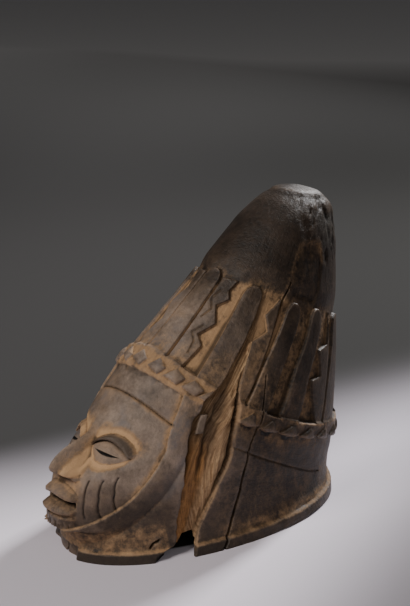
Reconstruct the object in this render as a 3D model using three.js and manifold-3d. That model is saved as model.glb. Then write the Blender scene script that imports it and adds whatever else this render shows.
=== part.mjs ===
// Carved wooden helmet mask with a tall swept-back coiffure, hollow and open below.
// Millimetres, +Z up. The face looks along -Y, the mask's own left is +X, and the rim stands on z = 0.
import * as THREE from 'three';
import { mergeVertices } from 'three/addons/utils/BufferGeometryUtils.js';
import Module from 'manifold-3d';

const wasm = await Module();
wasm.setup();

// Driving sizes
const wall = 14;
const hollowTop = 0.78;
const hollowShoulder = 0.60;
const rimBorder = 4;
const rimBorderTop = 0.045;
const rimBorderFoot = 0.06;
const bandRise = 3;
const bandHalf = 0.0245;
const coiffureSink = 3;
const fingerRise = 4;
const plateRise = 3.5;
const coiffureTop = 0.80;
const strapRise = 3;
const cutWidth = 2;
const cutDepth = 2.5;
const crackWidth = 2.4;
const crackDepth = 7;

// Slices of the skin, fanned from the level rim to the tilted headband and on to the crown.
// step: 0 at the rim, 1 at the tip; front and back: where the slice meets the middle plane, as y and z;
// half: half width; wideY: where along the slice it is widest
const slices = [
  { step: 0.00, front: [-160, 0], back: [160, 0], half: 96, wideY: 30 },
  { step: 0.06, front: [-158, 13], back: [161, 13], half: 93, wideY: 30 },
  { step: 0.14, front: [-158, 36], back: [164, 16], half: 89, wideY: 25 },
  { step: 0.22, front: [-156, 62], back: [166, 18], half: 87, wideY: 20 },
  { step: 0.30, front: [-147, 88], back: [168, 20], half: 86, wideY: 14 },
  { step: 0.38, front: [-130, 113], back: [169, 23], half: 86, wideY: 10 },
  { step: 0.46, front: [-110, 135], back: [170, 28], half: 86, wideY: 12 },
  { step: 0.53, front: [-88, 156], back: [171, 36], half: 86, wideY: 22 },
  { step: 0.60, front: [-67, 177], back: [173, 60], half: 84, wideY: 40 },
  { step: 0.70, front: [-24, 213], back: [175, 118], half: 75, wideY: 68 },
  { step: 0.80, front: [19, 249], back: [176, 185], half: 63, wideY: 90 },
  { step: 0.88, front: [54, 280], back: [178, 238], half: 52, wideY: 108 },
  { step: 0.94, front: [81, 302], back: [177, 277], half: 42, wideY: 123 },
  { step: 0.98, front: [107, 316], back: [168, 305], half: 28, wideY: 135 },
  { step: 0.995, front: [121, 320], back: [151, 316], half: 16, wideY: 135 },
  { step: 1.00, front: [135, 321], back: [135, 321], half: 0, wideY: 135 },
];

const degrees = Math.PI / 180;
const clamp01 = (t) => Math.min(1, Math.max(0, t));
const smooth = (a, b, t) => THREE.MathUtils.smoothstep(t, a, b);
const bell = (t) => Math.exp(-t * t);

// A smooth curve through the slices, for each of their six values
const columns = slices.map((s) => [s.step, ...s.front, ...s.back, s.half, s.wideY]);
const chords = columns.slice(1).map((c, i) => {
  const span = c[0] - columns[i][0];
  return c.map((value, k) => (value - columns[i][k]) / span);
});
const slopes = columns.map((c, i) => {
  if (i === 0 || i === columns.length - 1) return null;
  const before = c[0] - columns[i - 1][0];
  const after = columns[i + 1][0] - c[0];
  return c.map((_, k) => (chords[i - 1][k] * after + chords[i][k] * before) / (before + after));
});
slopes[0] = chords[0].map((d, k) => d + (d - slopes[1][k]) / 2);
slopes[columns.length - 1] = chords.at(-1).map((d, k) => d + (d - slopes[columns.length - 2][k]) / 2);

function sliceAt(step) {
  const last = columns.length - 2;
  const found = columns.findIndex((c, i) => i <= last && step < columns[i + 1][0]);
  const i = found < 0 ? last : found;
  const span = columns[i + 1][0] - columns[i][0];
  const t = (step - columns[i][0]) / span;
  return columns[i].map((value, k) =>
    (2 * t ** 3 - 3 * t ** 2 + 1) * value
    + (t ** 3 - 2 * t ** 2 + t) * span * slopes[i][k]
    + (3 * t ** 2 - 2 * t ** 3) * columns[i + 1][k]
    + (t ** 3 - t ** 2) * span * slopes[i + 1][k]);
}

// The smooth skin: turn is in degrees round the head, 0 at the front and 90 at the mask's left
function skin(turn, step, scale = 1) {
  const [, frontY, frontZ, backY, backZ, half, wideY] = sliceAt(step);
  const along = Math.cos(turn * degrees);
  const across = Math.sin(turn * degrees);
  const reach = along > 0 ? along * (frontY - wideY) : Math.abs(along) ** 0.95 * (backY - wideY);
  const side = along > 0 ? across : Math.sign(across) * Math.abs(across) ** 0.95;
  const tilt = backY - frontY > 1 ? (backZ - frontZ) / (backY - frontY) : 0;
  const y = wideY + reach * scale;
  return new THREE.Vector3(half * side * scale, y, frontZ + (y - frontY) * tilt);
}

function outward(turn, step) {
  const around = skin(turn + 0.5, step).sub(skin(turn - 0.5, step));
  const low = Math.max(0, step - 0.004);
  const high = Math.min(0.9999, step + 0.004);
  const up = skin(turn, high).sub(skin(turn, low));
  return around.cross(up).normalize();
}

// The face is pushed forward from the skin, by an amount worked out from x and z
const muzzle = { low: 30, high: 90, rise: 12, brow: 2, half: 26, fade: 52 };
const socket = { x: 29, z: 107, wide: 24, tall: 14, sink: 6 };
const mouthGap = { z: 61.5, half: 20, deep: 5, tall: 4, drop: 4 };

function faceForward(x, z) {
  const side = Math.abs(x);
  const tall = smooth(muzzle.low, muzzle.low + 5, z);
  const upper = smooth(muzzle.high - 14, muzzle.high + 22, z);
  const level = THREE.MathUtils.lerp(muzzle.rise, muzzle.brow, upper) * (1 - smooth(112, 140, z));
  const wide = 1 - smooth(muzzle.half, muzzle.fade, side);
  const hollow = bell(Math.hypot((side - socket.x) / socket.wide, (z - socket.z) / socket.tall) ** 2);
  const gapZ = mouthGap.z - mouthGap.drop * (side / mouthGap.half) ** 2;
  const between = 1 - smooth(mouthGap.half - 3, mouthGap.half + 3, side);
  const gap = between * bell(((z - gapZ) / mouthGap.tall) ** 2);
  return level * tall * wide - socket.sink * hollow - mouthGap.deep * gap;
}

// The carved skin before the separate strips: rim border, face and the sunk ground of the coiffure
function carved(turn, step, lift = 0, withFace = true) {
  const point = skin(turn, step);
  const normal = outward(turn, step);
  const worn = smooth(-26, -18, turn) * (1 - smooth(6, 10, turn));
  const border = (rimBorder - (rimBorder + 3) * worn) * (1 - smooth(rimBorderTop, rimBorderFoot, step));
  const ground = smooth(0.60, 0.62, step) * (1 - smooth(coiffureTop, coiffureTop + 0.07, step));
  const level = step < rimBorderFoot ? new THREE.Vector3(normal.x, normal.y, 0).normalize() : normal;
  const front = Math.max(0, Math.cos(turn * degrees));
  const facing = withFace && step < 0.5 ? smooth(0.3, 0.6, front) : 0;
  const forward = facing * faceForward(point.x, point.z);
  point.addScaledVector(level, border - coiffureSink * ground);
  point.y -= forward;
  return point.addScaledVector(normal, lift);
}

// Solids are made from rings of points, closed at both ends by a fan
function loft(rings) {
  const count = rings[0].length;
  const centre = (ring) => ring.reduce((sum, p) => sum.add(p), new THREE.Vector3()).divideScalar(count);
  const points = [...rings.flat(), centre(rings[0]), centre(rings.at(-1))];
  const faces = [];
  for (let row = 0; row < rings.length - 1; row += 1) {
    for (let i = 0; i < count; i += 1) {
      const a = row * count + i;
      const b = row * count + ((i + 1) % count);
      faces.push(a, b, b + count, a, b + count, a + count);
    }
  }
  const first = rings.length * count;
  for (let i = 0; i < count; i += 1) {
    const next = (i + 1) % count;
    faces.push(first, next, i);
    faces.push(first + 1, first - count + i, first - count + next);
  }
  const geometry = new THREE.BufferGeometry();
  const values = points.flatMap((p) => p.toArray());
  geometry.setAttribute('position', new THREE.Float32BufferAttribute(values, 3));
  geometry.setIndex(faces);
  return mergeVertices(geometry, 1e-4);
}

function signedVolume(vertices, triangles) {
  const corner = (i) => new THREE.Vector3().fromArray(vertices, triangles[i] * 3);
  let total = 0;
  for (let i = 0; i < triangles.length; i += 3) {
    total += corner(i).dot(corner(i + 1).cross(corner(i + 2))) / 6;
  }
  return total;
}

function solid(rings) {
  const geometry = loft(rings);
  const vertProperties = geometry.attributes.position.array;
  const source = geometry.index.array;
  const kept = [];
  for (let i = 0; i < source.length; i += 3) {
    const [a, b, c] = [source[i], source[i + 1], source[i + 2]];
    if (a !== b && b !== c && c !== a) kept.push(a, b, c);
  }
  const triVerts = Uint32Array.from(kept);
  if (signedVolume(vertProperties, triVerts) < 0) triVerts.reverse();
  return new wasm.Manifold(new wasm.Mesh({ numProp: 3, vertProperties, triVerts }));
}

function range(from, to, count) {
  return Array.from({ length: count + 1 }, (_, i) => from + ((to - from) * i) / count);
}

// Main body, sunk behind the face, with the finely carved face set into it
const recess = { turn: 40, low: 0.11, high: 0.42, sink: 8 };
const faceEdge = 48;
const faceFoot = 0.085;
const faceBed = 2.5;
const hairlineStep = (turn) => 0.516 - 0.038 * (turn / 42) ** 2;
const bodyTurns = [...range(-48, 48, 8), 56, 66, ...range(78, 300, 14)];
const bodySteps = [
  0, rimBorderTop, rimBorderFoot, 0.085, ...range(0.14, 0.56, 7), 0.6, 0.62,
  ...range(0.67, 0.82, 3), 0.87, 0.91, 0.945, 0.97, 0.985, 0.995, 0.999,
];
function bodyPoint(turn, step) {
  const off = Math.abs(turn);
  const inside = off < recess.turn && step > recess.low && step < recess.high;
  const under = off < faceEdge && step > faceFoot && step < hairlineStep(turn);
  return carved(turn, step, inside ? -recess.sink : -faceBed * under, false);
}
const body = solid(bodySteps.map((step) => bodyTurns.map((turn) => bodyPoint(turn, step))));

const faceTurns = range(-faceEdge, faceEdge, 17);
const faceRows = [0, 0.045, 0.09, ...range(0.12, 0.70, 10), 0.8, 1];
const faceBack = [1, 0, -1];
const faceStep = (turn, row) => THREE.MathUtils.lerp(faceFoot, hairlineStep(turn), row);
const face = solid(faceRows.map((row) => [
  ...faceTurns.map((turn) => carved(turn, faceStep(turn, row))),
  ...faceBack.map((side) => {
    const turn = side * faceEdge;
    return carved(turn, faceStep(turn, row), -recess.sink - 4, false);
  }),
]));

const hollowTurns = range(0, 342, 19);
const hollowSteps = [0, 0.15, 0.3, 0.45, ...range(hollowShoulder, hollowTop - 0.004, 5)];
function hollowRing(step) {
  const [, frontY, , backY, , half, wideY] = sliceAt(step);
  const rise = clamp01((step - hollowShoulder) / (hollowTop - hollowShoulder));
  const close = Math.sqrt(1 - rise * rise);
  return hollowTurns.map((turn) => {
    const along = Math.cos(turn * degrees);
    const long = along > 0 ? wideY - frontY : backY - wideY;
    const radius = Math.hypot(long * along, half * Math.sin(turn * degrees));
    return skin(turn, step, (1 - wall / radius) * close);
  });
}
const below = hollowRing(0).map((p) => new THREE.Vector3(p.x, p.y, -5));
const hollow = solid([below, ...hollowSteps.map(hollowRing)]);

// A point of the face above x and z, lifted along the skin's normal
function onFace(x, z, lift = 0) {
  let turn = 0;
  let step = 0.3;
  for (let i = 0; i < 12; i += 1) {
    turn = Math.asin(THREE.MathUtils.clamp(x / sliceAt(step)[5], -1, 1)) / degrees;
    step = THREE.MathUtils.clamp(step + (z - skin(turn, step).z) / 320, 0.02, 0.6);
  }
  return carved(turn, step, lift);
}

// Nose: slices downward from the root, each [z, half width at the face, rise]
const noseSlices = [
  [121, 3, 0], [117, 4, 4], [113, 5, 12], [109.5, 6, 22], [104, 8, 27],
  [99, 11, 28], [94.5, 15, 25], [90.5, 18, 19], [87.5, 18.5, 11], [86, 17, 2],
];
const noseDroop = 6;
const noseProfile = [-1, -0.9, -0.6, -0.3, 0, 0.3, 0.6, 0.9, 1].map((across) => {
  const off = Math.abs(across);
  return [across, off > 0.5 ? (1 - off) ** 0.65 : 1 - 1.55 * off ** 2];
});
const noseSolid = solid(noseSlices.map(([z, half, rise]) => [
  ...noseProfile.map(([across, up]) => {
    const drop = noseDroop * (1 - smooth(90, 100, z)) * across * across;
    return onFace(across * half, z - drop).add(new THREE.Vector3(0, 0.5 - rise * up, 0));
  }),
  onFace(0, z).add(new THREE.Vector3(0, 12, 0)),
]));

// A lip is a bar that curves round the muzzle, drops to its corners and tapers at its ends
const lips = [{ z: 70.5, drop: 6, tall: 6, rise: 9 }, { z: 54.5, drop: 1.5, tall: 5, rise: 10 }];
const lipHalf = 21;
const lipSolids = lips.map(({ z, drop, tall, rise }) => solid(range(-1, 1, 10).map((t) => {
  const taper = Math.sqrt(1 - 0.75 * t ** 4);
  const middle = z - drop * t * t;
  const section = [
    [0, 10], [-1, 8], [-1, -0.4], [-0.45, -0.9],
    [0.25, -1], [0.85, -0.65], [1, 0], [1, 8],
  ];
  return section.map(([up, out]) => {
    const deep = out < 0 ? out * rise * taper : out;
    return onFace(t * lipHalf, middle + up * tall * taper).add(new THREE.Vector3(0, deep, 0));
  });
})));

// Chin block under the lower lip
const chin = { top: 49, bottom: 32, half: 20, rise: 6 };
const chinSolid = solid(range(-1, 1, 8).map((t) => {
  const out = chin.rise * Math.sqrt(1 - 0.8 * t ** 4);
  const section = [
    [chin.top, 12], [chin.top, -0.5 * out], [chin.top - 3, -out],
    [chin.bottom + 2, -out], [chin.bottom, 1], [chin.bottom - 3, 12],
  ];
  return section.map(([z, deep]) => onFace(t * chin.half, z).add(new THREE.Vector3(0, deep, 0)));
}));

// Bulging eyes with a thick upper lid, tilted down to the outer corner
const eye = { x: 28, z: 105.5, half: 19, tilt: -14, upper: 9.5, lower: 9, bulge: 6 };
const lidRise = 5;
const lidWide = 4;
function eyePoint(side, along, above, lift) {
  const c = Math.cos(eye.tilt * degrees);
  const s = Math.sin(eye.tilt * degrees);
  return onFace(side * (eye.x + along * c - above * s), eye.z + along * s + above * c, lift);
}
const eyes = [1, -1].flatMap((side) => {
  const ball = solid(range(-0.97, 0.97, 8).map((t) => {
    const open = Math.sqrt(1 - t * t);
    const along = t * eye.half;
    const across = range(-1, 1, 6).map((s) => {
      const above = (s > 0 ? eye.upper : eye.lower) * s * open ** 1.6;
      return eyePoint(side, along, above, eye.bulge * open * Math.sqrt(1 - 0.9 * s * s));
    });
    const under = [eye.upper * open, -eye.lower * open].map((above) => eyePoint(side, along, above, -8));
    return [...across, ...under];
  }));
  const lid = solid(range(-1, 1, 10).map((t) => {
    const edge = eye.upper * (1 - t * t) ** 0.8;
    const section = [
      [edge - 1, -8], [edge + lidWide, -8], [edge + lidWide, lidRise], [edge, lidRise + 0.5],
    ];
    return section.map(([above, lift]) => eyePoint(side, t * (eye.half + 1), above, lift));
  }));
  return [ball, lid];
});

// A strip lies on the carved skin between two turns
function stripRing(left, right, step, lift) {
  return [
    carved(left, step, -4), carved(right, step, -4),
    carved(right, step, lift), carved(left, step, lift),
  ];
}

// A straight-line function through a few corners, each [step, turn]
function through(corners) {
  return (step) => {
    const last = corners.length - 2;
    const found = corners.findIndex((c, i) => i <= last && step <= corners[i + 1][0]);
    const i = found < 0 ? last : found;
    const t = clamp01((step - corners[i][0]) / (corners[i + 1][0] - corners[i][0]));
    return THREE.MathUtils.lerp(corners[i][1], corners[i + 1][1], t);
  };
}

// Flat finger strips with round tops: middle turn at foot and top, half width in degrees, top step
const fingers = [
  { foot: 6, top: 6, half: 9, end: 0.812 },
  { foot: 46.5, top: 46.5, half: 7.5, end: 0.802 },
  { foot: 76.5, top: 82, half: 6, end: 0.792 },
  { foot: 96.5, top: 103, half: 5, end: 0.792 },
  { foot: 128, top: 134, half: 7.5, end: 0.792 },
  { foot: 162, top: 165, half: 8, end: 0.792 },
  { foot: -34.5, top: -34.5, half: 9, end: 0.802 },
  { foot: -75, top: -79, half: 8, end: 0.792 },
  { foot: -104, top: -108, half: 8, end: 0.792 },
  { foot: -138, top: -142, half: 8, end: 0.792 },
];
const fingerFoot = 0.60;
const fingerRound = 0.026;

function fingerHalf(finger, step) {
  const left = clamp01((finger.end - step) / fingerRound);
  return finger.half * Math.sqrt(clamp01(1 - (1 - left) ** 2)) + 0.3;
}
function fingerMiddle(finger, step) {
  const t = smooth(0.66, finger.end, step);
  return THREE.MathUtils.lerp(finger.foot, finger.top, t);
}
function fingerStrip(finger) {
  const round = finger.end - fingerRound;
  const steps = [...range(fingerFoot, round, 3), finger.end - 0.4 * fingerRound, finger.end];
  return solid(steps.map((step) => {
    const middle = fingerMiddle(finger, step);
    const half = fingerHalf(finger, step);
    return stripRing(middle - half, middle + half, step, fingerRise);
  }));
}

// Plates with one zigzag edge, each [step, turn], and one straight edge beside a finger
const zigzags = [
  {
    beside: 16.5,
    edge: [
      [0.60, 27], [0.665, 31.5], [0.682, 25], [0.71, 32],
      [0.744, 25], [0.762, 32], [0.778, 28], [0.80, 31],
    ],
  },
  {
    beside: 69,
    edge: [
      [0.60, 62], [0.64, 59.5], [0.667, 60], [0.694, 56.5],
      [0.727, 65.8], [0.755, 60.5], [0.79, 68],
    ],
  },
  {
    beside: 119.5,
    edge: [
      [0.60, 115], [0.634, 108], [0.667, 104.5], [0.68, 112],
      [0.723, 108], [0.738, 117], [0.79, 120],
    ],
  },
  {
    beside: -5,
    edge: [[0.60, -13], [0.65, -19], [0.685, -13], [0.725, -20], [0.76, -13], [0.80, -18]],
  },
];
function zigzagPlate({ edge, beside }) {
  const zig = through(edge);
  const steps = edge.flatMap(([step], i) => (i === 0 ? [step] : [(edge[i - 1][0] + step) / 2, step]));
  return solid(steps.map((step) => {
    const left = Math.min(zig(step), beside);
    const right = Math.max(zig(step), beside);
    return stripRing(left, right, step, plateRise);
  }));
}

// The headband dips at the sides; a stretch of it is lost at the worn channel
const bandMiddle = (turn) => 0.576 + 0.026 * Math.cos(2 * turn * degrees);
const bandFrom = 66;
const bandTo = 414;
function bandRing(turn) {
  const middle = bandMiddle(turn);
  const low = middle - bandHalf;
  const high = middle + bandHalf;
  return [
    carved(turn, low, -5),
    carved(turn, high, -5),
    carved(turn, high, bandRise + coiffureSink * smooth(0.60, 0.62, high)),
    carved(turn, low, bandRise - 1),
  ];
}
const band = solid(range(bandFrom, bandTo, 36).map(bandRing));

// Raised lozenges on the front of the band and pointed teeth on its back
function stamp(corners, lift) {
  const at = (grow, height) => corners.map(([turn, step]) => {
    const middleTurn = corners.reduce((sum, c) => sum + c[0], 0) / corners.length;
    const middleStep = corners.reduce((sum, c) => sum + c[1], 0) / corners.length;
    return carved(
      middleTurn + (turn - middleTurn) * grow,
      middleStep + (step - middleStep) * grow,
      height,
    );
  });
  return solid([at(1, 0), at(0.75, lift)]);
}
const lozengeTurns = [-52, -40.2, -28, -14.5, 0, 15, 28, 40.2, 51];
const lozenges = lozengeTurns.map((turn) => {
  const middle = bandMiddle(turn);
  const corners = [
    [turn - 6, middle - 0.004], [turn + 1, middle - 0.017],
    [turn + 6, middle + 0.003], [turn - 1, middle + 0.017],
  ];
  return stamp(corners, bandRise + 2);
});
const toothTurns = [75.5, 88, 99, 110.5, 123, 137, ...range(152, 290, 7)];
const teeth = toothTurns.map((turn) => {
  const middle = bandMiddle(turn);
  const corners = [
    [turn - 6, middle - 0.018], [turn + 6, middle - 0.018],
    [turn + 1, middle + 0.012], [turn - 1, middle + 0.012],
  ];
  return stamp(corners, bandRise + 2);
});

// The strap that frames the face, between two half ellipses that open upward
const strapTop = 0.40;
const strapInner = { turn: 45, step: 0.27 };
const strapOuter = { turn: 55, step: 0.335 };
function strapEdge(ellipse, t) {
  const angle = t * degrees;
  if (Math.abs(t) <= 90) return [ellipse.turn * Math.sin(angle), strapTop - ellipse.step * Math.cos(angle)];
  const rise = ((Math.abs(t) - 90) / 30) * 0.16;
  return [Math.sign(t) * (ellipse.turn - 44 * rise), strapTop + rise];
}
const strap = solid(range(-120, 120, 34).map((t) => {
  const [innerTurn, innerStep] = strapEdge(strapInner, t);
  const [outerTurn, outerStep] = strapEdge(strapOuter, t);
  return [
    carved(innerTurn, innerStep, -9),
    carved(outerTurn, outerStep, -7),
    carved(outerTurn, outerStep, strapRise - 2),
    carved(innerTurn, innerStep, strapRise),
  ];
}));

// A thin cut follows a line of [turn, step] points
function cut(line, width, depth) {
  return solid(line.map(([turn, step], i) => {
    const before = line[Math.max(0, i - 1)];
    const after = line[Math.min(line.length - 1, i + 1)];
    const way = carved(after[0], after[1]).sub(carved(before[0], before[1])).normalize();
    const side = outward(turn, step).cross(way).normalize();
    const thin = i === 0 || i === line.length - 1 ? width / 4 : width / 2;
    const at = (across, lift) => carved(turn, step, lift).addScaledVector(side, across);
    return [at(-thin / 3, -depth), at(thin / 3, -depth), at(thin, 6), at(-thin, 6)];
  }));
}
const cheekCuts = [1, -1].flatMap((side) => [
  [[18.5, 0.29], [18, 0.25], [18.5, 0.21], [20, 0.18]],
  [[26, 0.295], [25, 0.25], [25.5, 0.21], [27, 0.18]],
  [[32.5, 0.305], [31.5, 0.27], [32.5, 0.23], [34, 0.205]],
].map((line) => cut(line.map(([turn, step]) => [turn * side, step]), cutWidth, cutDepth)));
const hairline = cut(range(-42, 42, 14).map((turn) => [turn, hairlineStep(turn)]), cutWidth, cutDepth);
const napeStep = (turn) => 0.455 - 0.2 * ((turn - 73) / 59) ** 1.6;
const napeLine = cut(range(73, 132, 8).map((turn) => [turn, napeStep(turn)]), cutWidth, cutDepth);
const crackLines = [
  [
    [68.5, 0], [74, 0.124], [80, 0.27], [84, 0.41],
    [83, 0.51], [82, 0.556], [77, 0.615], [73.5, 0.652],
  ],
  [[69.8, 0.60], [69.6, 0.66], [69.6, 0.73], [71, 0.785], [73.8, 0.824]],
];
const cracks = crackLines.map((line) => cut(line, crackWidth, crackDepth));

// The worn channel where the ear was: step, left turn, right turn, depth at the left, middle and right
const channelRows = [
  [0.02, 53, 59, 7, 9, 8],
  [0.104, 53.5, 61, 6, 8, 7],
  [0.165, 55.5, 63.5, 5, 8, 7],
  [0.24, 58, 66, 4, 8, 7],
  [0.323, 59, 70, 4, 7, 8],
  [0.42, 59, 72.8, 4, 6, 9],
  [0.51, 55.5, 70.2, 5, 6, 10],
  [0.585, 54, 67, 6, 6, 10],
  [0.65, 54, 61, 6, 4, 1],
  [0.72, 53.3, 58, 5, 3, 1],
  [0.785, 53.5, 56, 3, 2, 1],
];
const channel = solid(channelRows.map(([step, left, right, deepLeft, deep, deepRight]) => {
  const wide = right - left;
  return [
    carved(left, step, 9),
    carved(left + 0.12 * wide, step, -deepLeft),
    carved(left + 0.5 * wide, step, -deep),
    carved(right - 0.15 * wide, step, -deepRight),
    carved(right, step, 9),
  ];
}));

// The stretch of rim that has broken away, each [turn, height]
const breakOutline = [[43.5, -4], [45.5, 8], [49.5, 10], [52, 18], [56, 19.5], [57.5, 10], [58.2, -4]];
const rimBreak = solid([0.62, 1.2].map((scale) => breakOutline.map(([turn, height]) => {
  const p = skin(turn, 0, scale);
  return p.setZ(height);
})));

// Eye slits pierce the wall
const slit = { inner: [20, 109], outer: [39, 103.5], half: 1.5 };
const slitMiddle = [(slit.inner[0] + slit.outer[0]) / 2, (slit.inner[1] + slit.outer[1]) / 2];
const slitOutline = [
  slit.inner, [slitMiddle[0], slitMiddle[1] - slit.half],
  slit.outer, [slitMiddle[0], slitMiddle[1] + slit.half],
];
const eyeSlits = [1, -1].map((side) => solid([-160, -60].map((y) =>
  slitOutline.map(([x, z]) => new THREE.Vector3(side * x, y, z)))));

const raised = [
  face, noseSolid, ...lipSolids, chinSolid, ...eyes, band, strap,
  ...fingers.map(fingerStrip), ...zigzags.map(zigzagPlate), ...lozenges, ...teeth,
];
const removed = [
  channel, rimBreak, ...cracks, hairline, napeLine, ...cheekCuts, ...eyeSlits, hollow,
];
const built = raised.reduce((sum, piece) => sum.add(piece), body);
const whole = removed.reduce((sum, tool) => sum.subtract(tool), built);

const result = whole.getMesh();
const maskGeometry = new THREE.BufferGeometry();
maskGeometry.setAttribute('position', new THREE.BufferAttribute(result.vertProperties, 3));
maskGeometry.setIndex(new THREE.BufferAttribute(result.triVerts, 1));

const mask = new THREE.Mesh(maskGeometry, new THREE.MeshStandardMaterial({
  color: 0x4a3c30,
  roughness: 0.65,
  metalness: 0,
  flatShading: true,
}));
mask.name = 'mask';

const object = new THREE.Group();
object.add(mask);
export default object;
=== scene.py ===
"""Dresses a carved helmet mask: its skin with all the carving, cracks and wear, its patina and the studio."""
import math

import bpy
import numpy as np
from mathutils import Matrix, Vector, kdtree, noise


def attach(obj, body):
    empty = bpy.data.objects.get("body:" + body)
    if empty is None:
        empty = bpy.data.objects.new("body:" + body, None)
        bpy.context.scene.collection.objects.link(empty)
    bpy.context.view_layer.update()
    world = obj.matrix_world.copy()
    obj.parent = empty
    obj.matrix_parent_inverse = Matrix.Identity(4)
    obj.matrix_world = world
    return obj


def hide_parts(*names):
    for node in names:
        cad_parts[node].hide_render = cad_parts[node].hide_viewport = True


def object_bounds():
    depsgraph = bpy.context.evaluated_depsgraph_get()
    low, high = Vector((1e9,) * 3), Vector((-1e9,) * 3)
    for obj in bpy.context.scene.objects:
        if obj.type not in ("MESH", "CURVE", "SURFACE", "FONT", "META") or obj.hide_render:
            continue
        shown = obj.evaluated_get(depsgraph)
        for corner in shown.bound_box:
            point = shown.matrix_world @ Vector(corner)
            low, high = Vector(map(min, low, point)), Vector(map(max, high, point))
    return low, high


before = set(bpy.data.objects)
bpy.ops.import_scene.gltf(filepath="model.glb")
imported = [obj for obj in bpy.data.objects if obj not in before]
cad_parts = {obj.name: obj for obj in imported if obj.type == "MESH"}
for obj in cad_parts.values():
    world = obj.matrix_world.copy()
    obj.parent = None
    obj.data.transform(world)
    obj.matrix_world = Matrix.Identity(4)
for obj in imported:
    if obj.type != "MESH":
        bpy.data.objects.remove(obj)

bl_info = {
    "name": "Carved Helmet Mask",
    "version": (1, 0, 0),
    "blender": (4, 5, 0),
    "location": "View3D > Sidebar > Mask",
    "description": "Carves and finishes a wooden helmet mask on its solid frame",
    "category": "Object",
}

NODE = "mask"
CAD_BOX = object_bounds()

# Millimetres in a metre
MM = 1000

# The skin is worked out in millimetres and degrees, as slices fanned from the level rim to the crown.
# step: 0 at the rim, 1 at the tip; front and back: where a slice meets the middle plane, as y and z;
# half: half width; wide: where along the slice it is widest
SLICES = np.array([
    # step, front y, front z, back y, back z, half, wide
    (0.00, -160, 0, 160, 0, 96, 30),
    (0.06, -158, 13, 161, 13, 93, 30),
    (0.14, -158, 36, 164, 16, 89, 25),
    (0.22, -156, 62, 166, 18, 87, 20),
    (0.30, -147, 88, 168, 20, 86, 14),
    (0.38, -130, 113, 169, 23, 86, 10),
    (0.46, -110, 135, 170, 28, 86, 12),
    (0.53, -88, 156, 171, 36, 86, 22),
    (0.60, -67, 177, 173, 60, 84, 40),
    (0.70, -24, 213, 175, 118, 75, 68),
    (0.80, 19, 249, 176, 185, 63, 90),
    (0.88, 54, 280, 178, 238, 52, 108),
    (0.94, 81, 302, 177, 277, 42, 123),
    (0.98, 107, 316, 168, 305, 28, 135),
    (0.995, 121, 320, 151, 316, 16, 135),
    (1.00, 135, 321, 135, 321, 0, 135),
])

# The turn at which the skin is sewn up, on the unseen side
SEAM = -120.0
# About how many millimetres of skin lie in a degree of turn and in a step of 1, and a turn of the map
TURN_MM = 2.2
STEP_MM = 420
MAP_TURN_MM = 2.3
WALL = 14.0
HOLLOW_SHOULDER = 0.60
HOLLOW_TOP = 0.78
HOLLOW_GRID = (72, 30)
SMOOTH_ANGLE = 62
WELD = 0.02
# Faces this near a narrow line are divided; the unseen side's are divided less, by this share
LINE_REACH = 1.6
UNSEEN_SHARE = 0.45
BAND_HALF = 0.0245
COIFFURE_TOP = 0.795
STRAP_TOP = 0.40
# The strap's half ellipses: reach as a turn, and as a step below its top
STRAP_INNER = (45, 0.27)
STRAP_OUTER = (55, 0.335)
HAIRLINE_REACH = 42.0

# Rises and depths of the carving in millimetres; the strap's are at its inner and outer edge
RIM_BORDER = 4.0
GROUND_DEPTH = 3.0
STRIP_RISE, PLATE_RISE = 4.0, 3.5
PATCH_DEPTH = 1.2
BAND_RISE = 2.6
STRAP_RISE = (3.0, 0.6)
STRAP_GROOVE = 1.3
CHEEK_CUT, HAIRLINE_CUT, NAPE_CUT, PLATE_CUT = 1.6, 1.8, 1.4, 1.3
CRACK_DEPTH = 7.0

MUZZLE = {"low": 30, "high": 90, "rise": 12, "brow": 2, "half": 26, "fade": 52}
SOCKET = {"x": 29, "z": 107, "wide": 24, "tall": 14, "sink": 6}
MOUTH_GAP = {"z": 62, "half": 20, "deep": 5.5, "tall": 3.1, "drop": 4}
EYE = {"x": 25.5, "z": 105.5, "half": 18, "tilt": -15, "upper": 8, "lower": 8, "bulge": 5, "lid": 5.2}
NOSE = np.array([
    # z, half width, rise
    (86, 17, 2), (87.5, 18.5, 12), (90.5, 18, 21), (94.5, 15, 27), (99, 11.5, 30),
    (104, 9, 30.5), (109.5, 7, 27), (113, 6, 19), (117, 5, 8), (121, 3, 0),
])
NOSE_DROOP = 6.0
LIPS = [
    {"middle": 71.5, "drop": 6, "tall": 5.2, "rise": 10},
    {"middle": 54, "drop": 1.5, "tall": 4.6, "rise": 11},
]
LIP_HALF = 21.0
CHIN = {"top": 49, "bottom": 32, "half": 20, "rise": 6}
SLIT = {"inner": (13, 107), "outer": (36.5, 101.5), "half": 1.15, "reach": (-170, -60)}

# Flat strips with round tops: turn at the foot and at the top, half width in degrees, top step
FINGERS = [
    (6, 6, 9, 0.812), (46.5, 46.5, 7.5, 0.802), (76.5, 82, 6, 0.792), (96.5, 103, 5, 0.792),
    (128, 134, 7.5, 0.792), (162, 165, 8, 0.792), (-34.5, -34.5, 9, 0.802), (-75, -79, 8, 0.792),
    (-104, -108, 8, 0.792), (222, 218, 8, 0.792),
]
FINGER_ROUND = 0.026

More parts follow.
